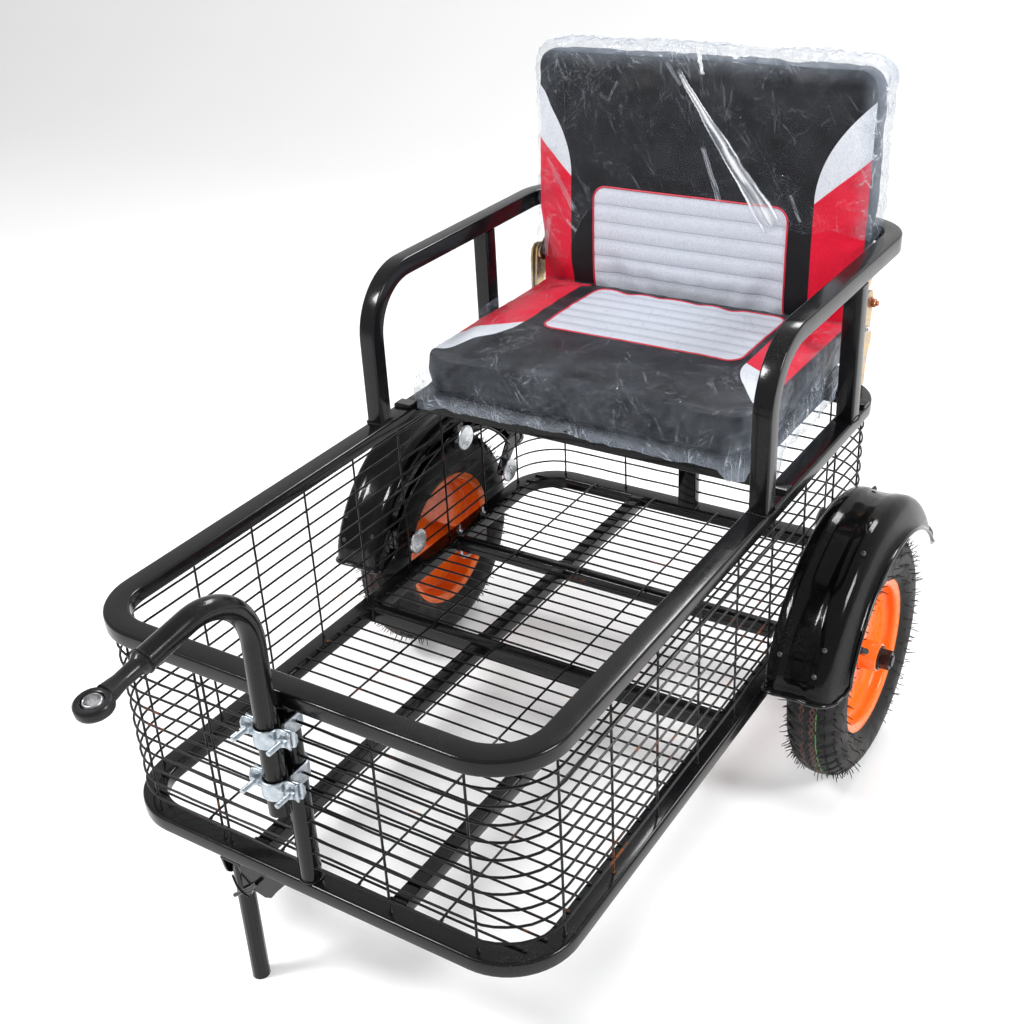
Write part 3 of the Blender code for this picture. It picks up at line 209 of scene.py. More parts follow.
BLACK = painted("frame_gloss", (0.0045, 0.0045, 0.005), (0.05, 0.05, 0.053), 0.17)
WIRE_PAINT = rusty_wire("net_gloss")
ZINC = plated("bright_zinc", (0.62, 0.66, 0.72), (0.40, 0.44, 0.50), 0.26)
GOLD = plated("yellow_zinc", (0.66, 0.47, 0.22), (0.42, 0.36, 0.30), 0.33)
COPPER = plated("copper_zinc", (0.55, 0.24, 0.13), (0.35, 0.16, 0.10), 0.35)
STEEL = plated("bare_steel", (0.42, 0.42, 0.44), (0.22, 0.21, 0.21), 0.34)
FENDER = painted("fender_gloss", (0.0035, 0.0035, 0.004), (0.06, 0.06, 0.062), 0.12, 0.002, 0.4)
ORANGE = painted("rim_orange", (1.0, 0.170, 0.012), (0.86, 0.120, 0.014), 0.26, 0.0015, 0.3)


def wrapped(look, *names):
    """Give CAD nodes that stay as they are a finished material."""
    for name in names:
        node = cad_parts[name]
        node.data.materials.clear()
        node.data.materials.append(look.material)


# ---------------------------------------------------------------- mesh helpers
def piece(name, mesh, look, body="trailer", stands_for=(), crease=40):
    """Turn a bmesh into a named object that rides on a body and stands for CAD nodes."""
    data = bpy.data.meshes.new(name)
    bmesh.ops.recalc_face_normals(mesh, faces=mesh.faces)
    mesh.to_mesh(data)
    mesh.free()
    made = bpy.data.objects.new(name, data)
    bpy.context.scene.collection.objects.link(made)
    for each in (look if isinstance(look, (list, tuple)) else [look]):
        data.materials.append(each.material)
    data.polygons.foreach_set("use_smooth", [True] * len(data.polygons))
    data.set_sharp_from_angle(angle=math.radians(crease))
    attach(made, body)
    if stands_for:
        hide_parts(*([stands_for] if isinstance(stands_for, str) else stands_for))
    return made


def ring(mesh, points):
    """New vertices at these points."""
    return [mesh.verts.new(point) for point in points]


def skin(mesh, rings, closed=False, caps=True, wrap=True, index=0):
    """Faces between rings of equal count."""
    count = len(rings[0])
    faces = []
    pairs = list(zip(rings, rings[1:]))
    if closed:
        pairs.append((rings[-1], rings[0]))
    for a, b in pairs:
        for i in range(count if wrap else count - 1):
            j = (i + 1) % count
            faces.append(mesh.faces.new((a[i], a[j], b[j], b[i])))
    if caps and not closed and wrap:
        faces.append(mesh.faces.new(rings[0][::-1]))
        faces.append(mesh.faces.new(rings[-1]))
    for face in faces:
        face.material_index = index


def spaced(count):
    """Angles once round, evenly spaced."""
    return [math.tau * i / count for i in range(count)]


def circle(radius, sides):
    """A round section."""
    return [(radius * math.cos(t), radius * math.sin(t)) for t in spaced(sides)]


def rounded(wide, high, corner, steps=3):
    """A rectangular tube's section, with round corners."""
    points = []
    for sx, sy, start in ((1, 1, 0), (-1, 1, 90), (-1, -1, 180), (1, -1, 270)):
        for i in range(steps + 1):
            turn = math.radians(start + 90 * i / steps)
            points.append((sx * (wide / 2 - corner) + corner * math.cos(turn),
                           sy * (high / 2 - corner) + corner * math.sin(turn)))
    return points


def sweep(mesh, path, section, up=(0, 0, 1), closed=False, scales=None):
    """Carry a section along a path: its first axis is sideways and its second is up."""
    path = [Vector(point) for point in path]
    last = len(path) - 1
    rings, side = [], None
    for i, point in enumerate(path):
        before = path[i - 1] if i or closed else point
        after = path[(i + 1) % len(path)] if i < last or closed else point
        along = ((after - point).normalized() + (point - before).normalized()).normalized()
        if up is not None:
            side = along.cross(Vector(up)).normalized()
        elif side is None:
            side = along.orthogonal().normalized()
        else:
            side = (side - along * side.dot(along)).normalized()
        rise = side.cross(along)
        bend = (after - point).normalized().dot(along) if after != point else 1
        scale = scales[i] if scales else 1
        rings.append(ring(mesh, [point + side * (a * scale / max(bend, 0.5)) + rise * (b * scale)
                                 for a, b in section]))
    skin(mesh, rings, closed)


def arc(centre, radius, start, end, steps, a=(1, 0, 0), b=(0, 1, 0)):
    """Points along an arc in the plane of a and b, in degrees."""
    a, b, centre = Vector(a), Vector(b), Vector(centre)
    turns = [math.radians(start + (end - start) * i / steps) for i in range(steps + 1)]
    return [centre + radius * (a * math.cos(t) + b * math.sin(t)) for t in turns]


def turned(mesh, profile, centre, steps, axis="X", index=0):
    """Turn a profile of (radius, distance along the axis) about the X or Z axis."""
    rings = []
    for turn in spaced(steps):
        c, s = math.cos(turn), math.sin(turn)
        if axis == "X":
            points = [(along, r * c, r * s) for r, along in profile]
        else:
            points = [(r * c, r * s, along) for r, along in profile]
        rings.append(ring(mesh, [Vector(centre) + Vector(point) for point in points]))
    skin(mesh, rings, closed=True, caps=False, index=index)


def smooth_path(points, step):
    """A Catmull-Rom curve through the points, with a place about every step."""
    points = [Vector(point) for point in points]
    padded = [2 * points[0] - points[1], *points, 2 * points[-1] - points[-2]]
    path = []
    for p, q, r, s in zip(padded, padded[1:], padded[2:], padded[3:]):
        count = max(1, round((r - q).length / step))
        for i in range(count):
            t = i / count
            path.append(0.5 * (2 * q + (r - p) * t + (2 * p - 5 * q + 4 * r - s) * t * t
                               + (3 * q - p - 3 * r + s) * t ** 3))
    return path + [points[-1]]


def blob(mesh, centre, radius, squash=(1, 1, 1)):
    """A small round lump, such as a weld."""
    place = Matrix.Translation(centre) @ Matrix.Diagonal((*squash, 1))
    bmesh.ops.create_icosphere(mesh, subdivisions=1, radius=radius, matrix=place)


def bead(mesh, points, radius, seed):
    """A weld bead: overlapping lumps along a line."""
    rng = random.Random(seed)
    for point in smooth_path(points, radius * 0.9):
        size = radius * rng.uniform(0.8, 1.15)
        blob(mesh, point, size, (1, 1, rng.uniform(0.7, 0.95)))


# ---------------------------------------------------------------- places read from the CAD nodes
LOWER_LOW, LOWER_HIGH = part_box("lower_frame")
UPPER_LOW, UPPER_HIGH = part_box("upper_frame")
HALF = LOWER_HIGH[0]
REAR = LOWER_HIGH[1]
FLOOR_TOP = LOWER_HIGH[2]
RAIL_WIDE, RAIL_HIGH, RAIL_CORNER = 0.030, 0.020, 0.085
NET_INSET = 0.010
WIRE = 0.003
LENGTH = 0.993  # of the basket
CROSS_TUBES = (0.493, 0.718)  # under the floor, from the front
LONG_TUBES = (-0.087, 0.107)  # under the floor, from the middle
ARMREST_TUBE = 0.025
SQUARE = ((-1, -1), (1, -1), (1, 1), (-1, 1), (-1, -1))  # once round a square tube's corners


# ---------------------------------------------------------------- tube frame
def loop_path(inset, z):
    """The basket's outline in plan, drawn in by inset."""
    radius = RAIL_CORNER - inset
    x, near, far = HALF - RAIL_CORNER, FRONT + RAIL_CORNER, REAR - RAIL_CORNER
    path = []
    for cx, cy, start in ((x, far, 0), (-x, far, 90), (-x, near, 180), (x, near, 270)):
        path += arc((cx, cy, z), radius, start, start + 90, 14)
    return path


def make_loops():
    """The two bent rectangular tubes that the basket hangs between."""
    section = rounded(RAIL_WIDE, RAIL_HIGH, 0.0035, 4)
    for name, low, high in (("lower_frame", LOWER_LOW, LOWER_HIGH), ("upper_frame", UPPER_LOW, UPPER_HIGH)):
        middle = (low[2] + high[2]) / 2
        mesh = bmesh.new()
        sweep(mesh, loop_path(RAIL_WIDE / 2, middle), section, closed=True)
        piece(name.replace("frame", "loop"), mesh, BLACK, stands_for=name)


def make_floor_bars():
    """The tubes under the floor net, with their welds."""
    mesh = bmesh.new()
    low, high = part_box("floor_frame")
    z = (low[2] + high[2]) / 2
    section = rounded(0.020, 0.0199, 0.0025, 3)
    for station in CROSS_TUBES:
        sweep(mesh, [(low[0], FRONT + station, z), (high[0], FRONT + station, z)], section)
        for side, _ in SIDES:
            end = side * (high[0] - 0.001)
            for edge in (-1, 1):
                y = FRONT + station + edge * 0.0105
                bead(mesh, [(end, y, z - 0.008), (end, y, z + 0.008)], 0.0024, station + side)
    for x in LONG_TUBES:  # each runs up to a cross tube and goes on behind it
        for start, end in ((low[1], FRONT + 0.483), (FRONT + 0.503, FRONT + 0.708),
                           (FRONT + 0.728, high[1])):
            sweep(mesh, [(x, start, z), (x, end, z)], section)
            for y in (start, end):
                bead(mesh, [(x - 0.010, y, z + 0.009), (x + 0.010, y, z + 0.009)], 0.002, x + y)
    piece("floor_bars", mesh, BLACK, stands_for="floor_frame")


def make_posts():
    """The post at the back and the round post that carries the drawbar, with their welds."""
    mesh = bmesh.new()
    low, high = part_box("rear_post")
    y = (low[1] + high[1]) / 2
    sweep(mesh, [(0, y, low[2]), (0, y, high[2])], rounded(high[0] - low[0], high[1] - low[1], 0.003, 3),
          up=(0, 1, 0))
    for z in (low[2], high[2]):
        for edge in (-1, 1):
            bead(mesh, [(edge * 0.015, y - 0.008, z), (edge * 0.015, y + 0.008, z)], 0.0022, z + edge)
    piece("rear_upright", mesh, BLACK, stands_for="rear_post")
    mesh = bmesh.new()
    low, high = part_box("drawbar_post")
    centre = Vector((0, (low[1] + high[1]) / 2, 0))
    radius = (high[1] - low[1]) / 2
    sweep(mesh, [centre + Vector((0, 0, low[2])), centre + Vector((0, 0, high[2]))], circle(radius, 40),
          up=(0, 1, 0))
    for z, lift in ((low[2], 0.001), (high[2], -0.001)):
        around = arc(centre + Vector((0, 0, z + lift)), radius, 0, 360, 24)
        bead(mesh, around, 0.0022, z)
    piece("drawbar_upright", mesh, BLACK, stands_for="drawbar_post")


def make_armrests():
    """The square tube that is bent up from the rails and runs round the back."""
    low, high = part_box("armrest_frame")
    half = ARMREST_TUBE / 2
    x, top = HALF - half, high[2] - half
    front, rear = low[1] + half, high[1] - half
    bend, corner = 0.083, 0.0665
    path = []
    for side in (-1, 1):
        run = [Vector((side * x, front, low[2]))]
        run += arc((side * x, front + bend, top - bend), bend, 180, 90, 14, (0, 1, 0), (0, 0, 1))
        inner = side * (x - corner)
        run += arc((inner, rear - corner, top), corner, 0, 90, 12, (side, 0, 0), (0, 1, 0))
        path += run if side < 0 else run[::-1]
    mesh = bmesh.new()
    section = rounded(ARMREST_TUBE, ARMREST_TUBE, 0.0028, 4)
    rings = []
    for i, point in enumerate(path):
        before = path[max(i - 1, 0)]
        after = path[min(i + 1, len(path) - 1)]
        along = ((after - point).normalized() + (point - before).normalized()).normalized()
        if abs(point.z - top) < 1e-6 and math.hypot(along.x, along.y) > 0.5:
            side_way = along.cross(Vector((0, 0, 1))).normalized()
        else:  # on the uprights the section keeps its side
            side_way = Vector((1 if point.x < 0 else -1, 0, 0))
        rise = side_way.cross(along)
        rings.append(ring(mesh, [point + side_way * a + rise * b for a, b in section]))
    skin(mesh, rings)
    for side in (-1, 1):
        bead(mesh, [(side * (x + edge * half), front + go * half, low[2] + 0.0005)
                    for edge, go in SQUARE], 0.0021, side)
    piece("armrest_tube", mesh, BLACK, stands_for="armrest_frame", crease=50)
    for side, word in SIDES:
        mesh = bmesh.new()
        low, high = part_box(f"armrest_post_{word}")
        middle = ((low[0] + high[0]) / 2, (low[1] + high[1]) / 2)
        sweep(mesh, [(*middle, low[2]), (*middle, high[2])], section, up=(0, 1, 0))
        bead(mesh, [(middle[0] + a * half, middle[1] + b * half, low[2] + 0.0006)
                    for a, b in SQUARE], 0.0016, side + 4)
        piece(f"armrest_upright_{word}", mesh, BLACK, stands_for=f"armrest_post_{word}")


make_loops()
make_floor_bars()
make_posts()
make_armrests()


# ---------------------------------------------------------------- wire nets
FLOOR_PITCH, FLOOR_FIRST = 0.0234, 0.0362  # the floor's wires, from the front
SIDE_LEVELS = [FLOOR_TOP + 0.021 + 0.0225 * k for k in range(10)]
SIDE_STATIONS = [0.182 + 0.106 * k for k in range(7)]
# The upright wires of an end net, along its outline from the middle.
END_STOPS = [-0.3235, -0.232, -0.118, -0.005, 0.110, 0.222, 0.3235]
NET_LOW, NET_HIGH = FLOOR_TOP, UPPER_LOW[2]


def drift(place):
    """A vector that wanders smoothly with the place, the same in every run."""
    return Vector([noise.noise(place + Vector((0, 0, 37.1 * k))) for k in range(3)])


def wire(mesh, path, seed, sway=0.0005):
    """A drawn wire that is not quite straight."""
    bent = []
    for i, point in enumerate(path):
        shift = drift(Vector((seed * 7.31, i * 0.45, 0.5))) * sway
        bent.append(Vector(point) + (shift if 0 < i < len(path) - 1 else Vector()))
    sweep(mesh, bent, circle(WIRE / 2, 8), up=None)


def straight(a, b, step=0.05):
    """Points from a to b, a step apart."""
    a, b = Vector(a), Vector(b)
    count = max(2, round((b - a).length / step))
    return [a.lerp(b, i / count) for i in range(count + 1)]


def around(run, inset):
    """X and depth of a place on an end net, which bends round the basket's corners."""
    flat = HALF - RAIL_CORNER
    turn = max(0.0, abs(run) - flat) / (RAIL_CORNER - NET_INSET)
    radius = RAIL_CORNER - inset
    x = min(abs(run), flat) + radius * math.sin(turn)
    return math.copysign(x, run), RAIL_CORNER - radius * math.cos(turn)


def make_floor_net():
    """Close wires across the floor, on four that run lengthwise."""
    mesh = bmesh.new()
    z = FLOOR_TOP + 0.0018
    inner = RAIL_CORNER - 0.016
    edge = HALF - 0.026
    lengthwise = (-0.165, -0.055, 0.055, 0.165)
    for k in range(40):
        station = FLOOR_FIRST + FLOOR_PITCH * k
        from_end = min(station, LENGTH - station)
        reach = edge
        if from_end < RAIL_CORNER:
            reach = HALF - RAIL_CORNER + math.sqrt(max(inner ** 2 - (RAIL_CORNER - from_end) ** 2, 0.001))
            reach = min(reach, edge)
        y = FRONT + station
        wire(mesh, straight((-reach, y, z), (reach, y, z)), k, 0.0009)
        for x in lengthwise:
            blob(mesh, (x, y, z + 0.0012), 0.0021, (1, 1, 0.6))
        for side in (-1, 1):
            blob(mesh, (side * reach, y, z - 0.0004), 0.0026, (1.2, 1, 0.7))
    for i, x in enumerate(lengthwise):
        top = z + 0.0023
        path = [(x, FRONT + 0.0265, z + 0.0004), (x, FRONT + 0.034, z + 0.0012), (x, FRONT + 0.042, top)]
        path += straight((x, FRONT + 0.09, top), (x, FRONT + 0.90, top), 0.06)
        path += [(x, FRONT + 0.951, top), (x, FRONT + 0.959, z + 0.0012), (x, FRONT + 0.9665, z + 0.0004)]
        wire(mesh, path, 60 + i)
        for y in (FRONT + 0.028, FRONT + 0.965):
            blob(mesh, (x, y, z - 0.0002), 0.0026, (1, 1.3, 0.7))
    piece("net_floor", mesh, WIRE_PAINT, stands_for="floor_mesh")


def make_side_nets():
    """The nets of the long sides, between the corners."""
    for side, word in SIDES:
        mesh = bmesh.new()
        outer, inner = side * (HALF - NET_INSET + 0.0011), side * (HALF - NET_INSET - 0.0012)
        near, far = FRONT + RAIL_CORNER, FRONT + LENGTH - RAIL_CORNER
        for k, z in enumerate(SIDE_LEVELS):
            wire(mesh, straight((outer, near, z), (outer, far, z)), k + 80 * side, 0.001)
        for k, station in enumerate(SIDE_STATIONS):
            y = FRONT + station
            wire(mesh, straight((inner, y, NET_LOW), (inner, y, NET_HIGH), 0.04), k + 40 * side)
            for z in SIDE_LEVELS:
                blob(mesh, (side * (HALF - NET_INSET), y, z), 0.0021, (0.6, 1, 1))
            for z in (NET_LOW + 0.001, NET_HIGH - 0.001):
                blob(mesh, (inner, y, z), 0.0028, (1, 1, 0.7))
        piece(f"net_{word}", mesh, WIRE_PAINT, stands_for=f"side_mesh_{word}")


def make_end_nets():
    """The nets of the front and the back, which wrap round the corners."""
    most = HALF - RAIL_CORNER + (RAIL_CORNER - NET_INSET) * math.pi / 2
    for word, sign, base, gap in (("front", 1, FRONT, 0.0125), ("rear", -1, REAR, 0.0)):
        mesh = bmesh.new()

        def place(run, inset, z):
            x, depth = around(run, inset)
            return (x, base + sign * depth, z)

        outer, inner = NET_INSET - 0.0011, NET_INSET + 0.0012
        for k, z in enumerate(SIDE_LEVELS):
            spans = [(-most, -gap), (gap, most)] if gap else [(-most, most)]
            for a, b in spans:
                count = round((b - a) / 0.013)
                wire(mesh, [place(a + (b - a) * i / count, outer, z) for i in range(count + 1)],
                     k + 130 * sign + a, 0.0008)
            for x in ((-gap, gap) if gap else (-0.014, 0.014)):
                blob(mesh, place(x, outer, z), 0.0026, (1.1, 1, 0.9))
        stops = END_STOPS + ([-0.128] if gap else [])
        for k, run in enumerate(stops):
            if gap and abs(run) < 0.02:
                continue
            wire(mesh, straight(place(run, inner, NET_LOW), place(run, inner, NET_HIGH), 0.04), k + 17 * sign)
            for z in SIDE_LEVELS:
                blob(mesh, place(run, NET_INSET, z), 0.0021)
            for z in (NET_LOW + 0.001, NET_HIGH - 0.001):
                blob(mesh, place(run, inner, z), 0.0028, (1, 1, 0.7))
        nodes = ("side_mesh_front_left", "side_mesh_front_right") if gap else ("side_mesh_rear",)
        piece(f"net_{word}", mesh, WIRE_PAINT, stands_for=nodes)


make_floor_net()
make_side_nets()
make_end_nets()


# ---------------------------------------------------------------- drawbar
def make_drawbar():
    """The bent tube, its neck and the eye that holds the bush."""
    low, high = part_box("drawbar")
    y0 = FRONT - 0.0175
    radius, bend, turn = 0.0125, 0.070, 98
    knee = UPPER_HIGH[2] + 0.070
    path = straight((0, y0, low[2]), (0, y0, knee), 0.02)[:-1]
    path += arc((0, y0 - bend, knee), bend, 0, turn, 26, (0, 1, 0), (0, 0, 1))
    droop = math.radians(turn - 90)
    ahead = Vector((0, -math.cos(droop), -math.sin(droop)))
    shoulder = path[-1] + ahead * 0.057
    path += straight(path[-1], shoulder, 0.02)[1:]
    mesh = bmesh.new()
    sweep(mesh, path, circle(radius, 40), up=(1, 0, 0))
    around_neck = arc(shoulder, radius - 0.0005, 0, 360, 24, (1, 0, 0), ahead.cross(Vector((1, 0, 0))))
    bead(mesh, around_neck, 0.002, 3)
    piece("drawbar_tube", mesh, BLACK, "drawbar_arm", "drawbar")

    mesh = bmesh.new()
    low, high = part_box("eye_bush")
    centre = (Vector(low) + Vector(high)) / 2
    steps = [(0.0, 0.0122), (0.003, 0.0119), (0.006, 0.0098), (0.010, 0.0087), (0.030, 0.0084)]
    path = [shoulder + ahead * (0.0004 + along) for along, _ in steps]
    path.append(centre - ahead * 0.0150)
    scales = [size / 0.01 for _, size in steps] + [1.05]
    sweep(mesh, path, circle(0.01, 32), up=(1, 0, 0), scales=scales)
    tilt = Matrix.Translation(centre) @ Matrix.Rotation(droop, 4, "X")
    section = [(0.0113, -0.0052), (0.0125, -0.0060), (0.0165, -0.0060), (0.0182, -0.0045), (0.0186, -0.002),
               (0.0186, 0.002), (0.0182, 0.0045), (0.0165, 0.0060), (0.0125, 0.0060), (0.0113, 0.0052)]
    loop = bmesh.new()
    turned(loop, section, ORIGIN, 56, "Z")
    bmesh.ops.transform(loop, matrix=tilt, verts=loop.verts)
    data = bpy.data.meshes.new("eye_ring")
    loop.to_mesh(data)
    loop.free()
    mesh.from_mesh(data)
    bpy.data.meshes.remove(data)
    piece("eye_forging", mesh, EYE_BLACK, "drawbar_arm", "towing_eye")

    mesh = bmesh.new()
    ball = [(0.0076, -0.0062), (0.0082, -0.0067), (0.0092, -0.0062)]
    ball += [(0.0110 * math.cos(t), 0.0110 * math.sin(t)) for t in
             (math.radians(-30 + 10 * i) for i in range(7))]
    ball += [(0.0092, 0.0062), (0.0082, 0.0067), (0.0076, 0.0062)]
    turned(mesh, ball, ORIGIN, 40, "Z")
    bmesh.ops.transform(mesh, matrix=tilt, verts=mesh.verts)
    piece("eye_ball", mesh, STEEL, "hitch_bush", "eye_bush")


EYE_BLACK = painted("eye_gloss", (0.010, 0.010, 0.011), (0.09, 0.09, 0.092), 0.30, 0.002, 0.15)
make_drawbar()


# ---------------------------------------------------------------- wheels
AXLE_Y = FRONT + 0.763
AXLE_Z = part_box("tyre_left")[1][2] / 2
WHEEL_X = 0.3528
TREADS = 48
VALVE_TURN = 0.66  # radians, up from the front
DARK_STEEL = plated("dark_steel", (0.045, 0.045, 0.048), (0.10, 0.10, 0.105), 0.38)
SEAL = Look("seal_maroon", (0.12, 0.018, 0.012), 0.42)
SEAL.set("Base Color", SEAL.mix(SEAL.noise(0.004, 3), (0.13, 0.02, 0.014), (0.06, 0.02, 0.016)))
SEAL.bump((SEAL.noise(0.002, 3), 0.2, 0.0003))


def tyre_look():
    """Moulded rubber: a fine diamond tread, brown mould wax in it, a green line and rings."""
    look = Look("tyre_black", (0.014, 0.014, 0.015), 0.55, IOR=1.32)
    y = look.axis("Y") - AXLE_Y
    z = look.axis("Z") - AXLE_Z
    across = abs(look.axis("X")) - WHEEL_X
    away = look.math("SQRT", y * y + z * z)
    turn = look.math("ARCTAN2", z, y) * (TREADS / math.tau)
    zigzag = look.math("PINGPONG", turn, 0.5)
    crown = look.between(away, 0.160, 0.166)
    lines = []
    for lean in (0.013, -0.013):
        for shift in (-0.0075, 0.0075):
            place = zigzag * lean + (shift - lean / 4)
            off = abs(across - place)
            lines.append(look.fades(off, 0.0007, 0.0017))
    cut = look.largest(*lines)
    for place in (-0.0165, 0.0165):
        off = abs(across - place)
        cut = look.largest(cut, look.fades(off, 0.0007, 0.0013))
    cut = cut * crown
    rings = look.largest(*[look.fades(abs(away - radius), 0.0006, 0.0012) for radius in (0.1475, 0.1225)])
    dust = look.between(look.noise(0.018, 4, 0.65), 0.42, 0.72)
    base = look.mix(dust, (0.007, 0.007, 0.0075), (0.019, 0.019, 0.019))
    wax = cut * look.between(look.noise(0.03, 2), 0.35, 0.55) * look.fades(abs(across), 0.011, 0.013)
    base = look.mix(wax, base, (0.135, 0.062, 0.050))
    green = look.fades(abs(across - 0.0125), 0.0004, 0.0009)
    green = green * crown * look.between(look.noise(0.01, 3), 0.38, 0.48)
    look.set("Base Color", look.mix(green, base, (0.10, 0.32, 0.08)))
    look.set("Roughness", look.between(dust, 0, 1, 0.50, 0.78))
    look.bump((cut * -1.0, 0.9, 0.0016), (rings, 0.7, 0.0009), (look.noise(0.0012, 3, 0.6), 0.15, 0.0003))
    return look


def tyre_outline():
    """Radius and distance from the middle, from one bead over the crown to the other."""
    half = [(0.1008, 0.0215), (0.1045, 0.0268), (0.1095, 0.0282), (0.1135, 0.0315), (0.118, 0.0345),
            (0.1235, 0.0370), (0.130, 0.0384), (0.137, 0.0387), (0.144, 0.0382), (0.1505, 0.0368),
            (0.1565, 0.0344), (0.1615, 0.0312), (0.1655, 0.0282), (0.1682, 0.0254), (0.1703, 0.0225),
            (0.1722, 0.0190), (0.1738, 0.0150), (0.1750, 0.0100), (0.1757, 0.0050), (0.1760, 0.0)]
    return [(r, -a) for r, a in half] + [(r, a) for r, a in half[-2::-1]]


def make_tyre(side, word, look):
    """A pneumatic tyre with cut shoulders."""
    mesh = bmesh.new()
    centre = Vector((side * WHEEL_X, AXLE_Y, AXLE_Z))
    outline = tyre_outline()
    steps = TREADS * 8
    rings = []
    for i, turn in enumerate(spaced(steps)):
        cut_here = i % 8 in (0, 1)
        sipe_here = (i + 4) % 8 in (0, 1)
        points = []
        for radius, along in outline:
            width = abs(along)
            if cut_here and 0.0185 < width < 0.033 and radius > 0.158:
                radius -= 0.0034
                along *= 0.975
            elif sipe_here and 0.009 < width < 0.0155:
                radius -= 0.0014
            points.append(centre + Vector((along, radius * math.cos(turn), radius * math.sin(turn))))
        rings.append(ring(mesh, points))
    skin(mesh, rings, closed=True, caps=False, wrap=False)
    inner = [rings[i][0] for i in range(steps)], [rings[i][-1] for i in range(steps)]
    for i in range(steps):
        j = (i + 1) % steps
        mesh.faces.new((inner[0][i], inner[0][j], inner[1][j], inner[1][i]))
    add_hairs(mesh, centre, side)
    piece(f"tyre_moulded_{word}", mesh, look, f"wheel_{word}", f"tyre_{word}", crease=35)


def add_hairs(mesh, centre, side):
    """The rubber hairs of a new tyre, in rows; none where it stands on the floor."""
    rng = random.Random(41 + side)
    # Each row of hairs: radius, distance from the middle, how many, and how far they lean outwards.
    rows = [(0.1700, 0.0228, 130, 0.35), (0.1700, -0.0228, 130, 0.35), (0.1610, 0.0318, 90, 0.8),
            (0.1610, -0.0318, 90, 0.8), (0.1480, 0.0368 * side, 40, 1.0), (0.1320, 0.0384 * side, 40, 1.2),
            (0.1320, -0.0384 * side, 30, 1.2), (0.1165, 0.0330 * side, 34, 1.35),
            (0.1762, 0.002, 60, 0.1)]
    for radius, along, count, lean in rows:
        for i in range(count):
            turn = math.tau * (i + rng.uniform(-0.3, 0.3)) / count
            out = Vector((0, math.cos(turn), math.sin(turn)))
            root = centre + out * (radius - 0.0006) + Vector((along, 0, 0))
            flare = Vector((math.copysign(1, along), 0, 0))
            way = (out * math.cos(lean) + flare * math.sin(lean)).normalized()
            way += Vector([rng.uniform(-0.25, 0.25) for _ in range(3)])
            curl = Vector([rng.uniform(-0.3, 0.3) for _ in range(3)])
            length = rng.uniform(0.006, 0.0120)
            if root.z + (way.z + curl.z) * length < 0.002 or out.z < -0.93:
                continue
            path = [root + way * length * t + curl * length * t * t for t in (0, 0.4, 0.75, 1.0)]
            sweep(mesh, path, circle(0.00075, 4), up=None, scales=[1, 0.9, 0.75, 0.4])


def make_rim(side, word):
    """A pressed disc wheel: two flanges, a deep barrel, a dished web and a tube hub."""
    mesh = bmesh.new()
    outer = [(0.0152, 0.0364), (0.0158, 0.0370), (0.0192, 0.0370), (0.0200, 0.0362), (0.0200, 0.0145),
             (0.0207, 0.0128), (0.0225, 0.0118), (0.030, 0.0112), (0.055, 0.0100), (0.078, 0.0080),
             (0.088, 0.0082), (0.0935, 0.0098), (0.0962, 0.0130), (0.0970, 0.0175), (0.0972, 0.0225),
             (0.0982, 0.0252), (0.1010, 0.0268), (0.1050, 0.0276), (0.1085, 0.0285), (0.1096, 0.0281),
             (0.1098, 0.0270), (0.1086, 0.0262), (0.1050, 0.0254), (0.1006, 0.0240), (0.1004, 0.010)]
    inner = [(r, -a) for r, a in outer[:13:-1]]  # the inner flange mirrors the outer one
    inner += [(0.097, -0.001), (0.0962, 0.0035), (0.0935, 0.0056), (0.088, 0.0052), (0.078, 0.005),
              (0.055, 0.007), (0.03, 0.0082), (0.0225, 0.008), (0.0207, 0.007), (0.02, 0.005),
              (0.02, -0.0342), (0.0192, -0.035), (0.0158, -0.035), (0.0152, -0.0344)]
    centre = Vector((side * WHEEL_X, AXLE_Y, AXLE_Z))
    turned(mesh, [(r, side * a) for r, a in outer + inner], centre, 120)
    for radius, along in ((0.0206, 0.0140), (0.0206, 0.0056)):
        bead(mesh, arc(centre + Vector((side * along, 0, 0)), radius, 0, 352, 30, (0, 1, 0), (0, 0, 1)),
             0.0016, radius + along)
    piece(f"rim_pressed_{word}", mesh, ORANGE, f"wheel_{word}", f"rim_{word}", crease=50)


def make_bearings(word):
    """A sealed ball bearing in each end of the hub: races of steel and a seal between."""
    mesh = bmesh.new()
    low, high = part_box(f"hub_bearing_{word}")
    middle = (low[0] + high[0]) / 2
    for sign in (1, -1):
        end = middle + sign * ((high[0] - low[0]) / 2)
        for index, profile in ((0, [(0.0143, -0.009), (0.0143, 0), (0.0122, 0), (0.0122, -0.0006),
                                    (0.0122, -0.009)]),
                               (1, [(0.0121, -0.009), (0.0121, -0.0008), (0.0118, -0.0005),
                                    (0.0100, -0.0005), (0.0098, -0.0009), (0.0098, -0.009)]),
                               (0, [(0.0097, -0.009), (0.0097, -0.0002), (0.0083, -0.0002),
                                    (0.0083, -0.009)])):
            turned(mesh, [(r, sign * a) for r, a in profile], (end, AXLE_Y, AXLE_Z), 40, index=index)
    turned(mesh, [(0.0110, -0.024), (0.0110, 0.024), (0.0083, 0.024), (0.0083, -0.024)],
           (middle, AXLE_Y, AXLE_Z), 32)
    piece(f"bearings_{word}", mesh, [STEEL, SEAL], f"wheel_{word}", f"hub_bearing_{word}")


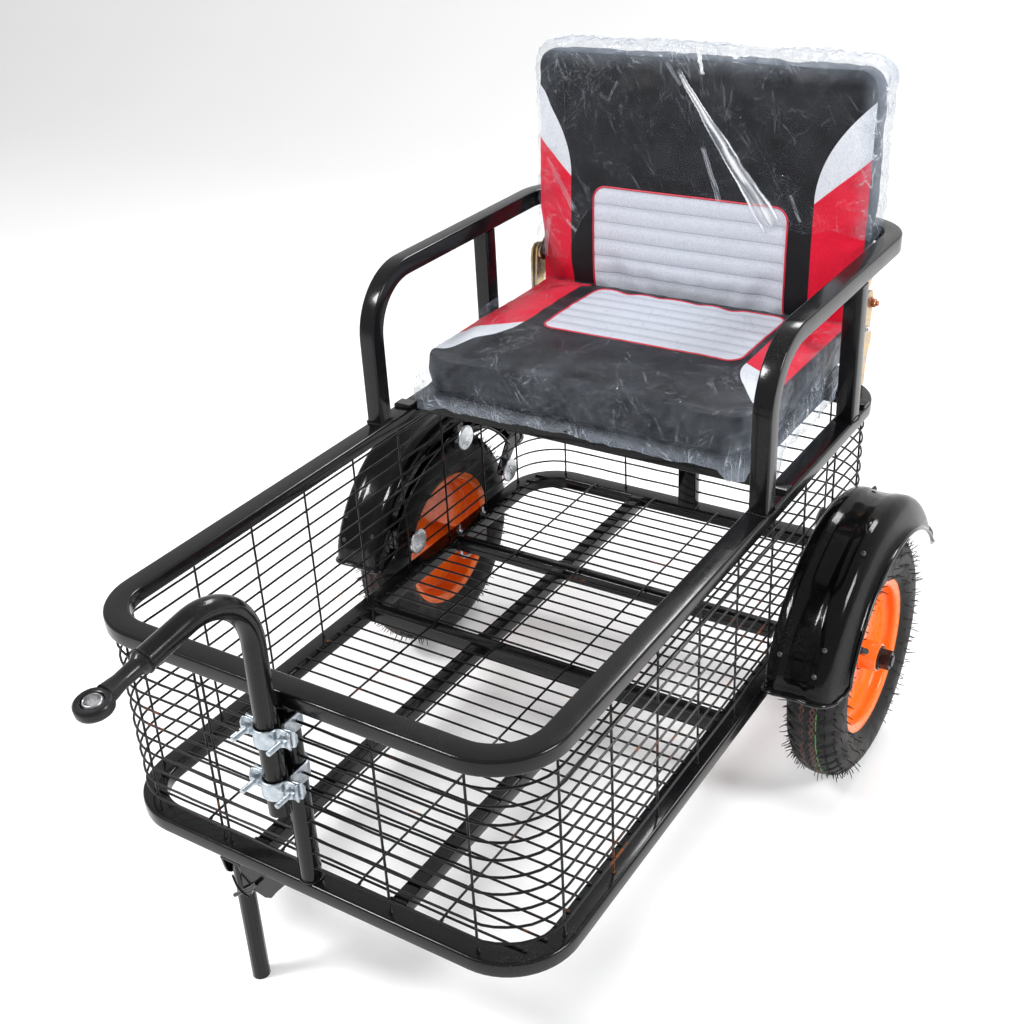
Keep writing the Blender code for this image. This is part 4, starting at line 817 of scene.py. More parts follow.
def make_valve(side, word):
    """The rubber valve, which leans out of the rim's barrel."""
    mesh = bmesh.new()
    forward, up = math.cos(VALVE_TURN), math.sin(VALVE_TURN)
    foot = Vector((side * WHEEL_X, AXLE_Y, AXLE_Z)) + Vector((side * 0.014, -0.0955 * forward, 0.0955 * up))
    lean = Vector((side * 0.75, 0.66 * forward, -0.66 * up)).normalized()
    # Distance from the foot and radius there.
    sizes = [(0, 0.0075), (0.002, 0.0072), (0.005, 0.0048), (0.016, 0.0042), (0.019, 0.0040),
             (0.0192, 0.0033), (0.021, 0.0033), (0.0212, 0.0044), (0.030, 0.0042), (0.0315, 0.0030)]
    sweep(mesh, [foot + lean * t for t, _ in sizes], circle(0.004, 20), up=None,
          scales=[r / 0.004 for _, r in sizes])
    piece(f"valve_{word}", mesh, VALVE, f"wheel_{word}")


VALVE = Look("valve_rubber", (0.015, 0.015, 0.016), 0.5)
VALVE.set("Roughness", VALVE.between(VALVE.noise(0.003, 3), 0.3, 0.7, 0.4, 0.6))
VALVE.bump((VALVE.noise(0.0015, 2), 0.2, 0.0003))
TYRE = tyre_look()
for side_sign, side_word in SIDES:
    make_tyre(side_sign, side_word, TYRE)
    make_rim(side_sign, side_word)
    make_bearings(side_word)
    make_valve(side_sign, side_word)


# ---------------------------------------------------------------- fenders
FENDER_RADIUS = 0.2262
FENDER_START, FENDER_END = 26.0, 165.5  # degrees, up from the back
# Each lug's bolt, behind and above the axle.
LUGS = {"front": (-0.131, 0.0716), "top": (0.012, 0.1846), "rear": (0.132, 0.0716)}
FENDER_PLANE = 0.3045  # the guard's inner face, from the middle of the trailer
GUARD_CORNERS = ((0.030, 0.040), (0.036, 0.024))  # rear end and front end, each inside and outside


def fender_section():
    """Distance out from the inner plane and height over the fender's radius, inside edge first."""
    points = [(0.0, -0.0375), (0.0, -0.026), (0.0, -0.014), (0.0012, -0.007), (0.005, -0.0025),
              (0.010, -0.0008), (0.016, 0.0), (0.021, -0.0006), (0.025, -0.0022), (0.032, -0.0028),
              (0.043, -0.0026), (0.053, -0.0020), (0.058, -0.0004), (0.064, 0.0), (0.072, 0.0),
              (0.0765, -0.0016), (0.0805, -0.0046), (0.0838, -0.0085), (0.0865, -0.0135), (0.0890, -0.0200),
              (0.0925, -0.029), (0.0960, -0.0365), (0.0980, -0.0395)]
    return [Vector((a, h, 0)) for a, h in points]


def make_fender(side, word):
    """A moulded guard: flanged inside, channelled on top, skirted outside, with a rolled lip."""
    mesh = bmesh.new()
    section = smooth_path(fender_section(), 0.0035)
    lengths = [0.0]
    for a, b in zip(section, section[1:]):
        lengths.append(lengths[-1] + (b - a).length)
    whole = lengths[-1]
    rings = []
    fractions = [0, 0.0025, 0.006, 0.011, 0.018, 0.028] + [0.04 + 0.92 * i / 46 for i in range(47)]
    fractions += [1 - f for f in (0.028, 0.018, 0.011, 0.006, 0.0025, 0)]
    for fraction in fractions:
        points = []
        for place, length in zip(section, lengths):
            trims = []
            for corner_in, corner_out in GUARD_CORNERS:
                trim = 0.0
                for near, corner in ((length, corner_in), (whole - length, corner_out)):
                    if near < corner:
                        trim = max(trim, corner - math.sqrt(corner ** 2 - (corner - near) ** 2))
                trims.append(math.degrees(trim / FENDER_RADIUS))
            start, end = FENDER_START + trims[0], FENDER_END - trims[1]
            turn = math.radians(start + (end - start) * fraction)
            away = min(fraction, 1 - fraction) * math.radians(end - start) * FENDER_RADIUS
            lip = 0.0055 * max(0.0, 1 - away / 0.008) ** 2
            out, height = place.x, place.y
            edge = min(length, whole - length)
            if whole - length < 0.006:
                out += 0.003 * (1 - (whole - length) / 0.006) ** 2
            dip = 0.0075 * max(0.0, 1 - away / 0.030) ** 2 if fraction > 0.5 else 0.0
            radius = FENDER_RADIUS + height - dip + lip * (1 if edge > 0.004 else 0.4)
            points.append((side * (FENDER_PLANE + out), AXLE_Y + radius * math.cos(turn),
                           AXLE_Z + radius * math.sin(turn)))
        rings.append(ring(mesh, points))
    skin(mesh, rings, caps=False, wrap=False)
    border = [v.co.copy() for v in rings[0]] + [band[-1].co.copy() for band in rings[1:-1]]
    border += [v.co.copy() for v in rings[-1][::-1]] + [band[0].co.copy() for band in rings[-2:0:-1]]
    bmesh.ops.solidify(mesh, geom=mesh.faces[:], thickness=0.0019)
    edge = [border[0]]
    for place in border[1:]:
        if (place - edge[-1]).length > 0.0022:
            edge.append(place)
    sweep(mesh, edge, circle(0.0026, 10), up=None, closed=True)
    add_lugs(mesh, side)
    piece(f"guard_{word}", mesh, FENDER, stands_for=f"fender_{word}", crease=55)


def add_lugs(mesh, side):
    """The three flat lugs by which a guard is bolted to the side net."""
    for along, up in LUGS.values():
        turn = math.atan2(up, along)
        turn = min(max(turn, math.radians(FENDER_START + 7)), math.radians(FENDER_END - 7))
        reach = FENDER_RADIUS - 0.0335
        root = Vector((0, AXLE_Y + reach * math.cos(turn), AXLE_Z + reach * math.sin(turn)))
        tip = Vector((0, AXLE_Y + along, AXLE_Z + up))
        spots = [(middle.y + radius * math.cos(t), middle.z + radius * math.sin(t))
                 for middle, radius in ((tip, 0.0122), (root, 0.0158))
                 for t in spaced(28)]
        outline = [spots[i] for i in geometry.convex_hull_2d(spots)]
        skin(mesh, [ring(mesh, [(side * (FENDER_PLANE + depth), *spot) for spot in outline])
                    for depth in (-0.0014, 0.0014)])


def make_studs(side, word):
    """The grey domed studs on top of a guard."""
    mesh = bmesh.new()
    for angle, across in ((152, 0.017), (156, 0.066), (147, 0.071), (66, 0.030), (112, 0.0765)):
        turn = math.radians(angle)
        out = Vector((0, math.cos(turn), math.sin(turn)))
        base = Vector((side * (FENDER_PLANE + across), AXLE_Y, AXLE_Z)) + out * (FENDER_RADIUS - 0.001)
        dome = [(0.0, 1.0), (0.0006, 1.0), (0.0022, 0.92), (0.0032, 0.62), (0.0035, 0.3), (0.0020, 0.22)]
        sweep(mesh, [base + out * rise for rise, _ in dome], circle(0.0036, 20), up=(1, 0, 0),
              scales=[scale for _, scale in dome])
    piece(f"guard_studs_{word}", mesh, STUD)


def make_fender_bolts():
    """Washers and bolts that clamp the guards to the side nets."""
    for side, word in SIDES:
        for where, (along, up) in LUGS.items():
            node = f"fender_bolt_{word}_{where}"
            low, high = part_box(node)
            inner = low[0] if side > 0 else high[0]
            outer = high[0] if side > 0 else low[0]
            y, z = AXLE_Y + along, AXLE_Z + up
            mesh = bmesh.new()
            disc = [(0.005, -0.0022), (0.0056, -0.0012), (0.008, -0.0012), (0.0086, -0.0018),
                    (0.016, -0.0014), (0.0185, -0.0008), (0.0195, 0.0004), (0.0195, 0.0018), (0.0185, 0.002)]
            path = [(inner + side * (x + 0.0036), y, z) for _, x in disc]
            sweep(mesh, path, circle(1.0, 40), scales=[r for r, _ in disc])
            sweep(mesh, [(inner + side * 0.005, y, z), (outer, y, z)], circle(0.0029, 16))
            sweep(mesh, [(outer - side * 0.0052, y, z), (outer - side * 0.0006, y, z)], circle(0.0052, 6))
            piece(node.replace("bolt", "stud"), mesh, MIRROR, stands_for=node, crease=30)


MIRROR = plated("washer_bright", (0.80, 0.82, 0.84), (0.62, 0.65, 0.69), 0.30)
STUD = painted("stud_grey", (0.05, 0.05, 0.055), (0.18, 0.18, 0.19), 0.25, 0.001, 0.4)
for side_sign, side_word in SIDES:
    make_fender(side_sign, side_word)
    make_studs(side_sign, side_word)
make_fender_bolts()


# ---------------------------------------------------------------- cushions
PIVOT = Vector((0, FRONT + 0.975, 0.60737))
LEAN = Matrix.Translation(PIVOT) @ Matrix.Rotation(math.radians(-3), 4, "X")
ON_BACK = LEAN @ Matrix(((1, 0, 0, 0), (0, 0, -1, 0), (0, 1, 0, 0), (0, 0, 0, 1)))
ON_SEAT = Matrix.Translation((0, FRONT + 0.785, 0)) @ Matrix.Diagonal((-1, -1, 1, 1))
PLANE = {"back": ON_BACK, "seat": ON_SEAT}
BODY = {"back": "backrest", "seat": "trailer"}
CHANNEL = 0.0262  # from seam to seam of the pale panel
GRID = 0.0068  # mesh width of the covers, and below of the film
FILM_GRID = 0.0042

# Where the colours meet, across and away from the corner between seat and back: the inner edge of the
# red side, its outer edge, then how far out the red ends inside and outside, and the pale wedge ends.
# Then the pale panel: middle across, half width, far end, near end.
CUTS = {
    "back": (0.190, 0.251, 0.163, 0.218, 0.292, -0.004, 0.153, 0.153, -0.035),
    "seat": (0.170, 0.246, 0.171, 0.221, 0.283, -0.020, 0.151, 0.178, 0.004),
}
# Where CUTS is measured from, along each cushion, and how far the sides' pattern lies off the middle.
REFERENCE = {"back": 0.571 - PIVOT.z, "seat": 0.785 - 0.930}
SHIFT = {"back": -0.006, "seat": -0.010}
PANEL_CORNER = 0.020


def pale_panel(kind):
    """The pale panel: its middle across, half width, far end and near end."""
    middle, half, far, near = CUTS[kind][5:]
    return middle, half, far + REFERENCE[kind], near + REFERENCE[kind]


def cover_look(kind):
    """The printed cover: charcoal, red sides, pale wedges and a quilted pale panel, with painted shade in the
    hollows of its channels.
    """
    inside, outside, low_in, low_out, top, middle, half, far, near = CUTS[kind]
    look = Look(f"cover_{kind}", (0.03, 0.03, 0.034), 0.5, IOR=1.32)
    flat = look.node("UVMap", uv_map="cut")
    across = look.node("SeparateXYZ", 0, {0: flat})
    along = look.node("SeparateXYZ", 1, {0: flat})
    reach = along - REFERENCE[kind]
    out = abs(across - SHIFT[kind])
    share = (reach - low_in) / (top - low_in)
    curve = look.math("POWER", look.largest(share, 0.0), 2.1)
    edge = curve * (outside - inside) + inside
    side = look.between(out - edge, -0.0004, 0.0004)
    step = (out - inside) / (outside - inside)
    lower = step * (low_out - low_in) + low_in
    pale = look.between(reach - lower, -0.0004, 0.0004)
    dx = abs(across - middle) - (half - PANEL_CORNER)
    dy = abs(reach - (far + near) / 2) - ((far - near) / 2 - PANEL_CORNER)
    dx, dy = look.largest(dx, 0.0), look.largest(dy, 0.0)
    span = look.math("SQRT", dx * dx + dy * dy)
    panel = look.fades(span, PANEL_CORNER - 0.0004, PANEL_CORNER + 0.0004)
    fold = look.math("PINGPONG", reach + -far, CHANNEL / 2)
    seam = look.fades(fold, 0.0, 0.0016) * panel
    # Painted shade: the pale panel darkens towards each channel's seam, where its hollow lies.
    painted_channel_shade = look.fades(fold, 0.0, 0.007) * panel
    thread = look.noise(0.0011, 2, 0.5, stretch=(1, 1, 0.35))
    cloud = look.noise(0.05, 4, 0.6)
    black = look.mix(cloud, (0.004, 0.004, 0.0055), (0.011, 0.011, 0.0135))
    red = look.mix(cloud, (0.60, 0.004, 0.026), (0.76, 0.008, 0.040))
    grey = look.mix(cloud, (0.60, 0.63, 0.69), (0.72, 0.75, 0.80))
    colour = look.mix(side, black, look.mix(pale, red, grey))
    light = look.mix(cloud, (0.56, 0.59, 0.67), (0.67, 0.70, 0.78))
    light = look.mix(painted_channel_shade, light, (0.52, 0.55, 0.63))
    light = look.mix(seam, light, (0.44, 0.47, 0.54))
    colour = look.mix(panel, colour, light)
    colour = look.mix(look.between(thread, 0.35, 0.65, 0.0, 0.16), colour, (0.0, 0.0, 0.0))
    look.set("Base Color", colour)
    look.set("Roughness", look.between(cloud, 0.3, 0.7, 0.42, 0.60))
    look.bump((look.noise(0.035, 3, 0.6, 0.6), 0.35, 0.003), (seam * -1.0, 0.4, 0.001),
              (thread, 0.22, 0.0004))
    return look


def gusset_look(kind, dark, pale):
    """The dark leatherette of the sides and the back, a little blue."""
    look = Look(f"gusset_{kind}", pale, 0.42, IOR=1.34)
    cloud = look.noise(0.04, 4, 0.6)
    look.set("Base Color", look.mix(cloud, dark, pale))
    look.set("Roughness", look.between(cloud, 0.3, 0.7, 0.34, 0.55))
    look.bump((look.noise(0.03, 4, 0.62, 0.9), 0.6, 0.004), (look.noise(0.0011, 2), 0.25, 0.0003))
    return look


def rounded_place(x, y, wide, high, corners):
    """Map a grid place into a rectangle with round corners, of one radius below and another above."""
    corner = corners[0] if y < 0 else corners[1]
    dx, dy = abs(x) - (wide - corner), abs(y) - (high - corner)
    if dx > 0 and dy > 0:
        pull = max(dx, dy) / math.hypot(dx, dy)
        x = math.copysign(wide - corner + dx * pull, x)
        y = math.copysign(high - corner + dy * pull, y)
    return x, y


def box_net(low, high, corners, crown, cell, taper, warp):
    """A box of quads: a face, a side band and a back, with the flat place of every point.

    Returns the mesh, the flat places, the rows of the face, the rings of the band and the rows of
    the back."""
    centre_x, centre_y = (low.x + high.x) / 2, (low.y + high.y) / 2
    wide, tall = (high.x - low.x) / 2, (high.y - low.y) / 2
    face, base = high.z - crown, low.z
    nx, ny = round(2 * wide / cell), round(2 * tall / cell)
    mesh = bmesh.new()
    mesh.loops.layers.uv.new("cut")
    flat = {}

    def add(x, y, z, share):
        x, y = warp(x, y, share)
        vertex = mesh.verts.new((x, y, z))
        flat[vertex] = (x, y)
        return vertex

    def grid(level, draw, share):
        rows = []
        for j in range(ny + 1):
            row = []
            for i in range(nx + 1):
                x, y = rounded_place((2 * i / nx - 1) * wide, (2 * j / ny - 1) * tall, wide, tall, corners)
                swell = 0 if share else crown * (1 - (x / wide) ** 4) * (1 - (y / tall) ** 4)
                row.append(add(centre_x + x * draw, centre_y + y * draw, level + swell, share))
            rows.append(row)
        return rows

    def border(rows):
        return (rows[0][:-1] + [row[-1] for row in rows[:-1]] + rows[-1][:0:-1]
                + [row[0] for row in rows[:0:-1]])

    front, back = grid(face, 1, 0), grid(base, taper, 1)
    for rows, index in ((front, 0), (back, 1)):
        for a, b in zip(rows, rows[1:]):
            for i in range(nx):
                quad = [a[i], a[i + 1], b[i + 1], b[i]]
                mesh.faces.new(quad[::-1] if index else quad).material_index = index
    levels = max(3, round((face - base) / cell))
    rings = [border(front)]
    ends = border(back)
    for k in range(1, levels):
        share = k / levels
        bulge = 1 + 0.008 * math.sin(math.pi * share)
        band = []
        for a, b in zip(rings[0], ends):
            spot = a.co.lerp(b.co, share)
            x, y = centre_x + (spot.x - centre_x) * bulge, centre_y + (spot.y - centre_y) * bulge
            band.append(mesh.verts.new((x, y, spot.z)))
        rings.append(band)
    rings.append(ends)
    for band in rings[1:]:
        for top, vertex in zip(rings[0], band):  # the band's flat place is rolled out beside the face
            out = Vector(((top.co.x - centre_x) / wide, (top.co.y - centre_y) / tall))
            out = Vector((out.x ** 7, out.y ** 7)).normalized() * (top.co.z - vertex.co.z)
            flat[vertex] = (vertex.co.x + out.x, vertex.co.y + out.y)
    for a, b in zip(rings, rings[1:]):
        for i in range(len(a)):
            j = (i + 1) % len(a)
            mesh.faces.new((a[j], a[i], b[i], b[j])).material_index = 1
    return mesh, flat, front, rings, back


def lay_flat(mesh, flat):
    """Write the flat places into the mesh's map, and return them with the depth, in order."""
    mesh.verts.index_update()
    cut = mesh.loops.layers.uv["cut"]
    for face in mesh.faces:
        for loop in face.loops:
            loop[cut].uv = flat[loop.vert]
    return [Vector((*flat[v], v.co.z)) for v in mesh.verts]


def cushion_box(kind, low_by, high_by):
    """The box of a cushion's CAD node in the cushion's own plane, with its two corners moved."""
    inverse = PLANE[kind].inverted()
    inner = [inverse @ v.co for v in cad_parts[f"{kind}_cushion"].data.vertices]
    low, high = (Vector([pick(v[k] for v in inner) for k in range(3)]) for pick in (min, max))
    return low + Vector(low_by), high + Vector(high_by)


def settle(made, pinned, pressure, cap):
    """Inflate a cover under its own air, then fix the result as its shape."""
    start = [v.co.copy() for v in made.data.vertices]
    group = made.vertex_groups.new(name="held")
    for weight, chosen in pinned:
        group.add(chosen, weight, "REPLACE")
    soft = made.modifiers.new("Cloth", "CLOTH")
    soft.settings.quality = 6
    soft.settings.mass = 0.25
    soft.settings.tension_stiffness = soft.settings.compression_stiffness = 18
    soft.settings.shear_stiffness = 8
    soft.settings.bending_stiffness = 1.2
    soft.settings.use_pressure = True
    soft.settings.uniform_pressure_force = pressure
    soft.settings.shrink_min = -0.012
    soft.settings.vertex_group_mass = "held"
    soft.settings.pin_stiffness = 1.5
    soft.settings.effector_weights.gravity = 0
    soft.point_cache.frame_start = 1
    soft.point_cache.frame_end = 20
    scene = bpy.context.scene
    for step in range(1, 21):
        scene.frame_set(step)
    seen = made.evaluated_get(bpy.context.evaluated_depsgraph_get()).to_mesh()
    ends = [v.co.copy() for v in seen.vertices]
    made.modifiers.remove(soft)
    scene.frame_set(1)
    for vertex, before, after in zip(made.data.vertices, start, ends):
        move = after - before
        if move.length > cap:
            move *= cap / move.length
        vertex.co = before + move


def creases(place, size, seed):
    """A height from -1 to 1 of sharp, wandering folds."""
    p = Vector(place) / size + Vector((seed, seed * 0.7, 0))
    warp = drift(p * 0.6) * 0.9
    return 1 - 2.6 * abs(noise.noise(p + warp))


def make_cushion(kind, looks, corners, crown, grow, warp):
    """A box cushion in a sewn cover, settled under its own air, with its channels."""
    low, high = cushion_box(kind, *grow)
    mesh, flat, front, rings, back = box_net(low, high, corners, crown, GRID, 0.985, warp)
    places = lay_flat(mesh, flat)
    mesh.normal_update()
    held = [v.index for row in back for v in row]
    rim = [v.index for v in rings[0]]
    on_face = {v.index for row in front for v in row}
    middle, half, far, near = pale_panel(kind)
    for face in mesh.faces:
        if kind == "seat" and face.normal.y > 0.6:  # the front is cut from the same cloth as the top
            face.material_index = 0
    cushion = piece(f"cushion_{kind}", mesh, looks, BODY[kind], f"{kind}_cushion", crease=70)
    settle(cushion, ((1.0, held), (0.9, rim)), 0.7, 0.006)
    normals = [v.normal.copy() for v in cushion.data.vertices]
    still = set(held)
    for index, (vertex, normal, place) in enumerate(zip(cushion.data.vertices, normals, places)):
        if index in still:
            continue
        lift = 0.0010 * creases(place, 0.085, 3.1) + 0.0004 * creases(place, 0.028, 7.7)
        if index in on_face:
            inset = min(half - abs(place.x - middle), far - place.y, place.y - near)
            if inset > 0:
                fold = abs((place.y - far + CHANNEL / 2) % CHANNEL - CHANNEL / 2) / (CHANNEL / 2)
                puff = 0.0026 * math.sin(fold * math.pi / 2) ** 0.6 - 0.0008
                lift = lift * 0.4 + puff * min(1.0, inset / 0.006)
        else:
            lift *= 1.9
        vertex.co += normal * lift
    cushion.data.transform(PLANE[kind])
    soft = cushion.modifiers.new("round", "SUBSURF")
    soft.levels = soft.render_levels = 1
    return cushion


def slim_at_hinge(x, y, share):
    """The backrest is a little narrower low down, between the hinges."""
    t = min(1.0, max(0.0, (y - 0.025) / 0.05))
    return x * (0.976 + 0.024 * t * t * (3 - 2 * t)), y


def as_cut(x, y, share):
    """No change."""
    return x, y


def welt(kind, cushion, look):
    """The red cord round the pale panel, laid on the finished cover."""
    middle, half, far, near = pale_panel(kind)
    r = PANEL_CORNER
    path = []
    for x, y, start in ((middle + half - r, far - r, 0), (middle - half + r, far - r, 90),
                        (middle - half + r, near + r, 180), (middle + half - r, near + r, 270)):
        path += arc((x, y, 0), r, start, start + 90, 8)
    path.append(path[0].copy())
    path = [p for a, b in zip(path, path[1:]) for p in straight(a, b, 0.004)[:-1]]
    direction = (PLANE[kind].to_3x3() @ Vector((0, 0, -1))).normalized()
    laid = []
    for place in path:
        start = PLANE[kind] @ Vector((place.x, place.y, 0.9 if kind == "seat" else 0.2))
        hit, spot, _, _ = cushion.ray_cast(start, direction)
        if hit:
            laid.append(spot - direction * 0.0002)
    mesh = bmesh.new()
    sweep(mesh, laid, circle(0.0014, 8), up=-direction, closed=True)
    piece(f"welt_{kind}", mesh, look, BODY[kind])


RED_CORD = Look("cord_red", (0.50, 0.010, 0.035), 0.45)
RED_CORD.set("Base Color", RED_CORD.mix(RED_CORD.noise(0.02, 3), (0.46, 0.008, 0.03), (0.60, 0.016, 0.05)))
RED_CORD.bump((RED_CORD.noise(0.001, 2), 0.3, 0.0003))
# One leatherette in two colours: lighter and bluer on the backrest, as painted sheen where light falls on its
# top edge, and near black on the seat.
GUSSET = {"back": gusset_look("back", (0.034, 0.044, 0.060), (0.062, 0.078, 0.100)),
          "seat": gusset_look("seat", (0.007, 0.008, 0.010), (0.015, 0.017, 0.021))}
SEAT_COVER, BACK_COVER = cover_look("seat"), cover_look("back")
seat_pad = make_cushion("seat", [SEAT_COVER, GUSSET["seat"]], corners=(0.006, 0.022), crown=0.005,
                        grow=((0.006, -0.006, 0.0006), (-0.01, -0.002, 0)), warp=as_cut)
back_pad = make_cushion("back", [BACK_COVER, GUSSET["back"]], corners=(0.006, 0.028), crown=0.006,
                        grow=((-0.006, -0.017, 0.0006), (0.006, 0.011, 0)), warp=slim_at_hinge)
welt("seat", seat_pad, RED_CORD)
welt("back", back_pad, RED_CORD)


# ---------------------------------------------------------------- clear film left over the cushions
# The film's larger creases on the backrest, lifted in the sheet and drawn white in its shader as painted
# reflections: both ends as x and height over the pivot, half widths, strength.
CREASES = (
    ((-0.024, 0.290), (0.130, 0.086), 0.0030, 0.0165, 1.0),
    ((0.000, 0.322), (0.012, 0.286), 0.0025, 0.0030, 1.0),
    ((0.018, 0.190), (0.048, 0.112), 0.0030, 0.0050, 0.45),
    ((-0.045, 0.300), (-0.020, 0.270), 0.0030, 0.0030, 0.30),
    ((0.150, 0.136), (0.168, 0.100), 0.0025, 0.0020, 0.40),
    ((-0.240, 0.150), (-0.190, 0.075), 0.0030, 0.0050, 0.40),
    ((-0.205, 0.060), (-0.160, 0.020), 0.0025, 0.0045, 0.45),
    ((-0.235, 0.060), (-0.250, -0.030), 0.0040, 0.0050, 0.40),
    ((-0.120, 0.270), (-0.135, 0.240), 0.0020, 0.0020, 0.20),
)


def drawn(look, flat, wobble, a, b, wide_a, wide_b, strength):
    """One larger crease of the film as a painted reflection: two bright edges and a paler middle, as a share
    of white.
    """
    a, b = Vector((*a, 0)), Vector((*b, 0))
    run = b - a
    from_a = look.node("VectorMath", inputs={0: flat, 1: a}, operation="SUBTRACT")
    along = look.node("VectorMath", 1, {0: from_a, 1: run / run.length_squared}, operation="DOT_PRODUCT")
    aside = look.node("VectorMath", 1, {0: from_a, 1: Vector((-run.y, run.x, 0)).normalized()},
                      operation="DOT_PRODUCT")
    wide = along * (wide_b - wide_a) + wide_a
    near = abs((aside + wobble) / wide)
    edge = look.fades(abs(near - 0.8), 0.0, 0.26)
    core = look.between(near, 0.0, 0.60, 0.95, 0.38)
    inside = look.fades(near, 0.85, 1.0) * core
    ends = look.between(along, -0.02, 0.04) * look.fades(along, 0.94, 1.02)
    return look.largest(edge, inside) * ends * strength


def film_look(creases, milk=1.0):
    """Clear, thin, crumpled film: almost nothing where it lies flat, and painted reflections in white where
    it folds.
    """
    look = Look("clear_film", (0.80, 0.85, 0.91), 0.12, IOR=1.8)
    flat = look.node("UVMap", uv_map="cut")
    veil = look.node("Attribute", "Fac", attribute_name="veil")
    loose = look.node("Attribute", "Fac", attribute_name="loose")

    def streaks(turn, size, long, detail=2.0):
        """Noise drawn out along one direction of the sheet."""
        place = look.node("Mapping", inputs={0: flat, 2: (0, 0, math.radians(turn)), 3: (long, 1, 1)},
                          vector_type="TEXTURE")
        return look.noise(size, detail, 0.55, 0.35, coords=place)

    lines = None
    # Thin white lines across the sheet: painted reflections, which also serve as a bump.
    for turn, size, long, width in ((-56, 0.016, 7, 0.016), (40, 0.013, 6, 0.014), (96, 0.020, 6, 0.012),
                                    (-15, 0.011, 5, 0.016)):
        off = abs(streaks(turn, size, long) - 0.5)
        line = look.fades(off, 0.0, width)
        line = line * look.between(streaks(turn, size * 3, 3), 0.5, 0.62)
        lines = line if lines is None else look.largest(lines, line)
    wobble = (streaks(-52, 0.02, 2.5) - 0.5) * 0.006
    mark = 0.0
    for crease in creases:
        mark = look.largest(drawn(look, flat, wobble, *crease), mark)
    # The larger creases' painted reflections, broken up along the sheet.
    glint_breakup = look.between(streaks(-52, 0.0065, 12, 4), 0.38, 0.54, 0.45, 1.0)
    mark = mark * glint_breakup
    cloud = look.noise(0.05, 3)
    haze = look.between(cloud, 0.3, 0.75, 0.008 * milk, 0.032 * milk) * (1.0 + loose * 3.0)
    # The thin lines and the creases are whitened and made opaque as painted reflections.
    fine = lines * (0.13 * milk ** 0.5 + loose * 0.46)
    bright = look.largest(mark, fine)
    look.set("Alpha", look.math("ADD", haze + veil, bright, True))
    look.set("Base Color", look.mix(bright, (0.40, 0.46, 0.55), (0.97, 0.98, 1.0)))
    look.set("Roughness", look.between(cloud, 0.3, 0.7, 0.08, 0.2))
    look.bump((lines, 0.5, 0.0008), (streaks(-52, 0.012, 5), 0.5, 0.002))
    return look


def ridge(place, size, long, turn, width, seed):
    """A wandering sharp fold that runs along one direction: 0 away from it, 1 on it."""
    c, s = math.cos(turn), math.sin(turn)
    run, off = place.x * c + place.y * s, -place.x * s + place.y * c
    n = noise.noise(Vector((run / long + seed, off / size + seed * 0.37, place.z / size + seed)))
    return max(0.0, 1.0 - abs(n) / width)


def stroke(x, y, a, b, wide_a, wide_b, strength):
    """How much of one drawn crease lies at a flat place: two sharp edges with a dip between."""
    run = Vector(b) - Vector(a)
    along = (Vector((x, y)) - Vector(a)).dot(run) / run.length_squared
    if not -0.03 < along < 1.03:
        return 0.0
    aside = (Vector((x, y)) - Vector(a)).cross(run) / run.length
    wide = wide_a + (wide_b - wide_a) * along
    near = abs(aside) / wide
    if near > 1.6:
        return 0.0
    edge = math.exp(-((near - 0.75) / 0.35) ** 2) + 0.45 * math.exp(-((near + 0.1) / 0.3) ** 2)
    return min(1.0, edge) * strength


def clear_of(sheet, cushion, gap):
    """Lift the sheet off the finished cushion wherever it would sink in."""
    solid = BVHTree.FromObject(cushion, bpy.context.evaluated_depsgraph_get())
    for vertex in sheet.data.vertices:
        spot, normal, _, _ = solid.find_nearest(vertex.co, 0.02)
        if spot is not None:
            short = gap - (vertex.co - spot).dot(normal)
            if 0 < short < 0.012:
                vertex.co += normal * short


def make_film(kind, look, box, corners, crown, warp, shape, closed_back):
    """A thin sheet over a cushion, open along its low edge; shape moves and folds each point."""
    carrier = f"cushion_{kind}"
    mesh, flat, front, rings, back = box_net(*box, corners, crown, FILM_GRID, 1.0, warp)
    open_edge = {v for band in rings for v in band[:len(front[0])]}
    under = {v for row in back for v in row}
    gone = [f for f in mesh.faces if f.material_index == 1
            and (open_edge.issuperset(f.verts) or (not closed_back and under.issuperset(f.verts)))]
    mesh.normal_update()
    normals = {v: v.normal.copy() for v in mesh.verts}
    bmesh.ops.delete(mesh, geom=gone, context="FACES")
    places = lay_flat(mesh, flat)
    folded = []
    for vertex, place in zip(mesh.verts, places):
        move, *marks = shape(place, normals[vertex])
        vertex.co += move
        folded.append(marks)
    sheet = piece(f"film_{kind}", mesh, look, BODY[kind], crease=60)
    for face in sheet.data.polygons:
        face.material_index = 0
    for k, layer in enumerate(("veil", "loose")):
        values = sheet.data.attributes.new(layer, "FLOAT", "POINT").data
        for value, marks in zip(values, folded):
            value.value = min(1.0, max(0.0, marks[k]))
    sheet.data.transform(PLANE[kind])
    clear_of(sheet, bpy.data.objects[carrier], 0.0014)


def crumple(place, sizes, seed):
    """Lift and folds of loose film at a place."""
    lift = fold = 0.0
    for k, (turn, size, long, width) in enumerate(sizes):
        mask = noise.noise(place / 0.07 + Vector((seed + k * 5.3, k * 2.1, 0)))
        mask = min(1.0, max(0.0, mask * 2.2 + 0.55))
        r = ridge(place, size, long, turn, width, seed + 3.7 * k) * mask
        lift += r
        fold = max(fold, r)
    return lift, fold


# Three sets of folds in loose film: direction in radians, spacing, length and sharpness.
LOOSE = ((0.95, 0.016, 0.09, 0.30), (-0.7, 0.013, 0.06, 0.26), (1.9, 0.020, 0.08, 0.22))


def ramp(value, low, high):
    """0 below low, 1 above high."""
    return min(1.0, max(0.0, (value - low) / (high - low)))


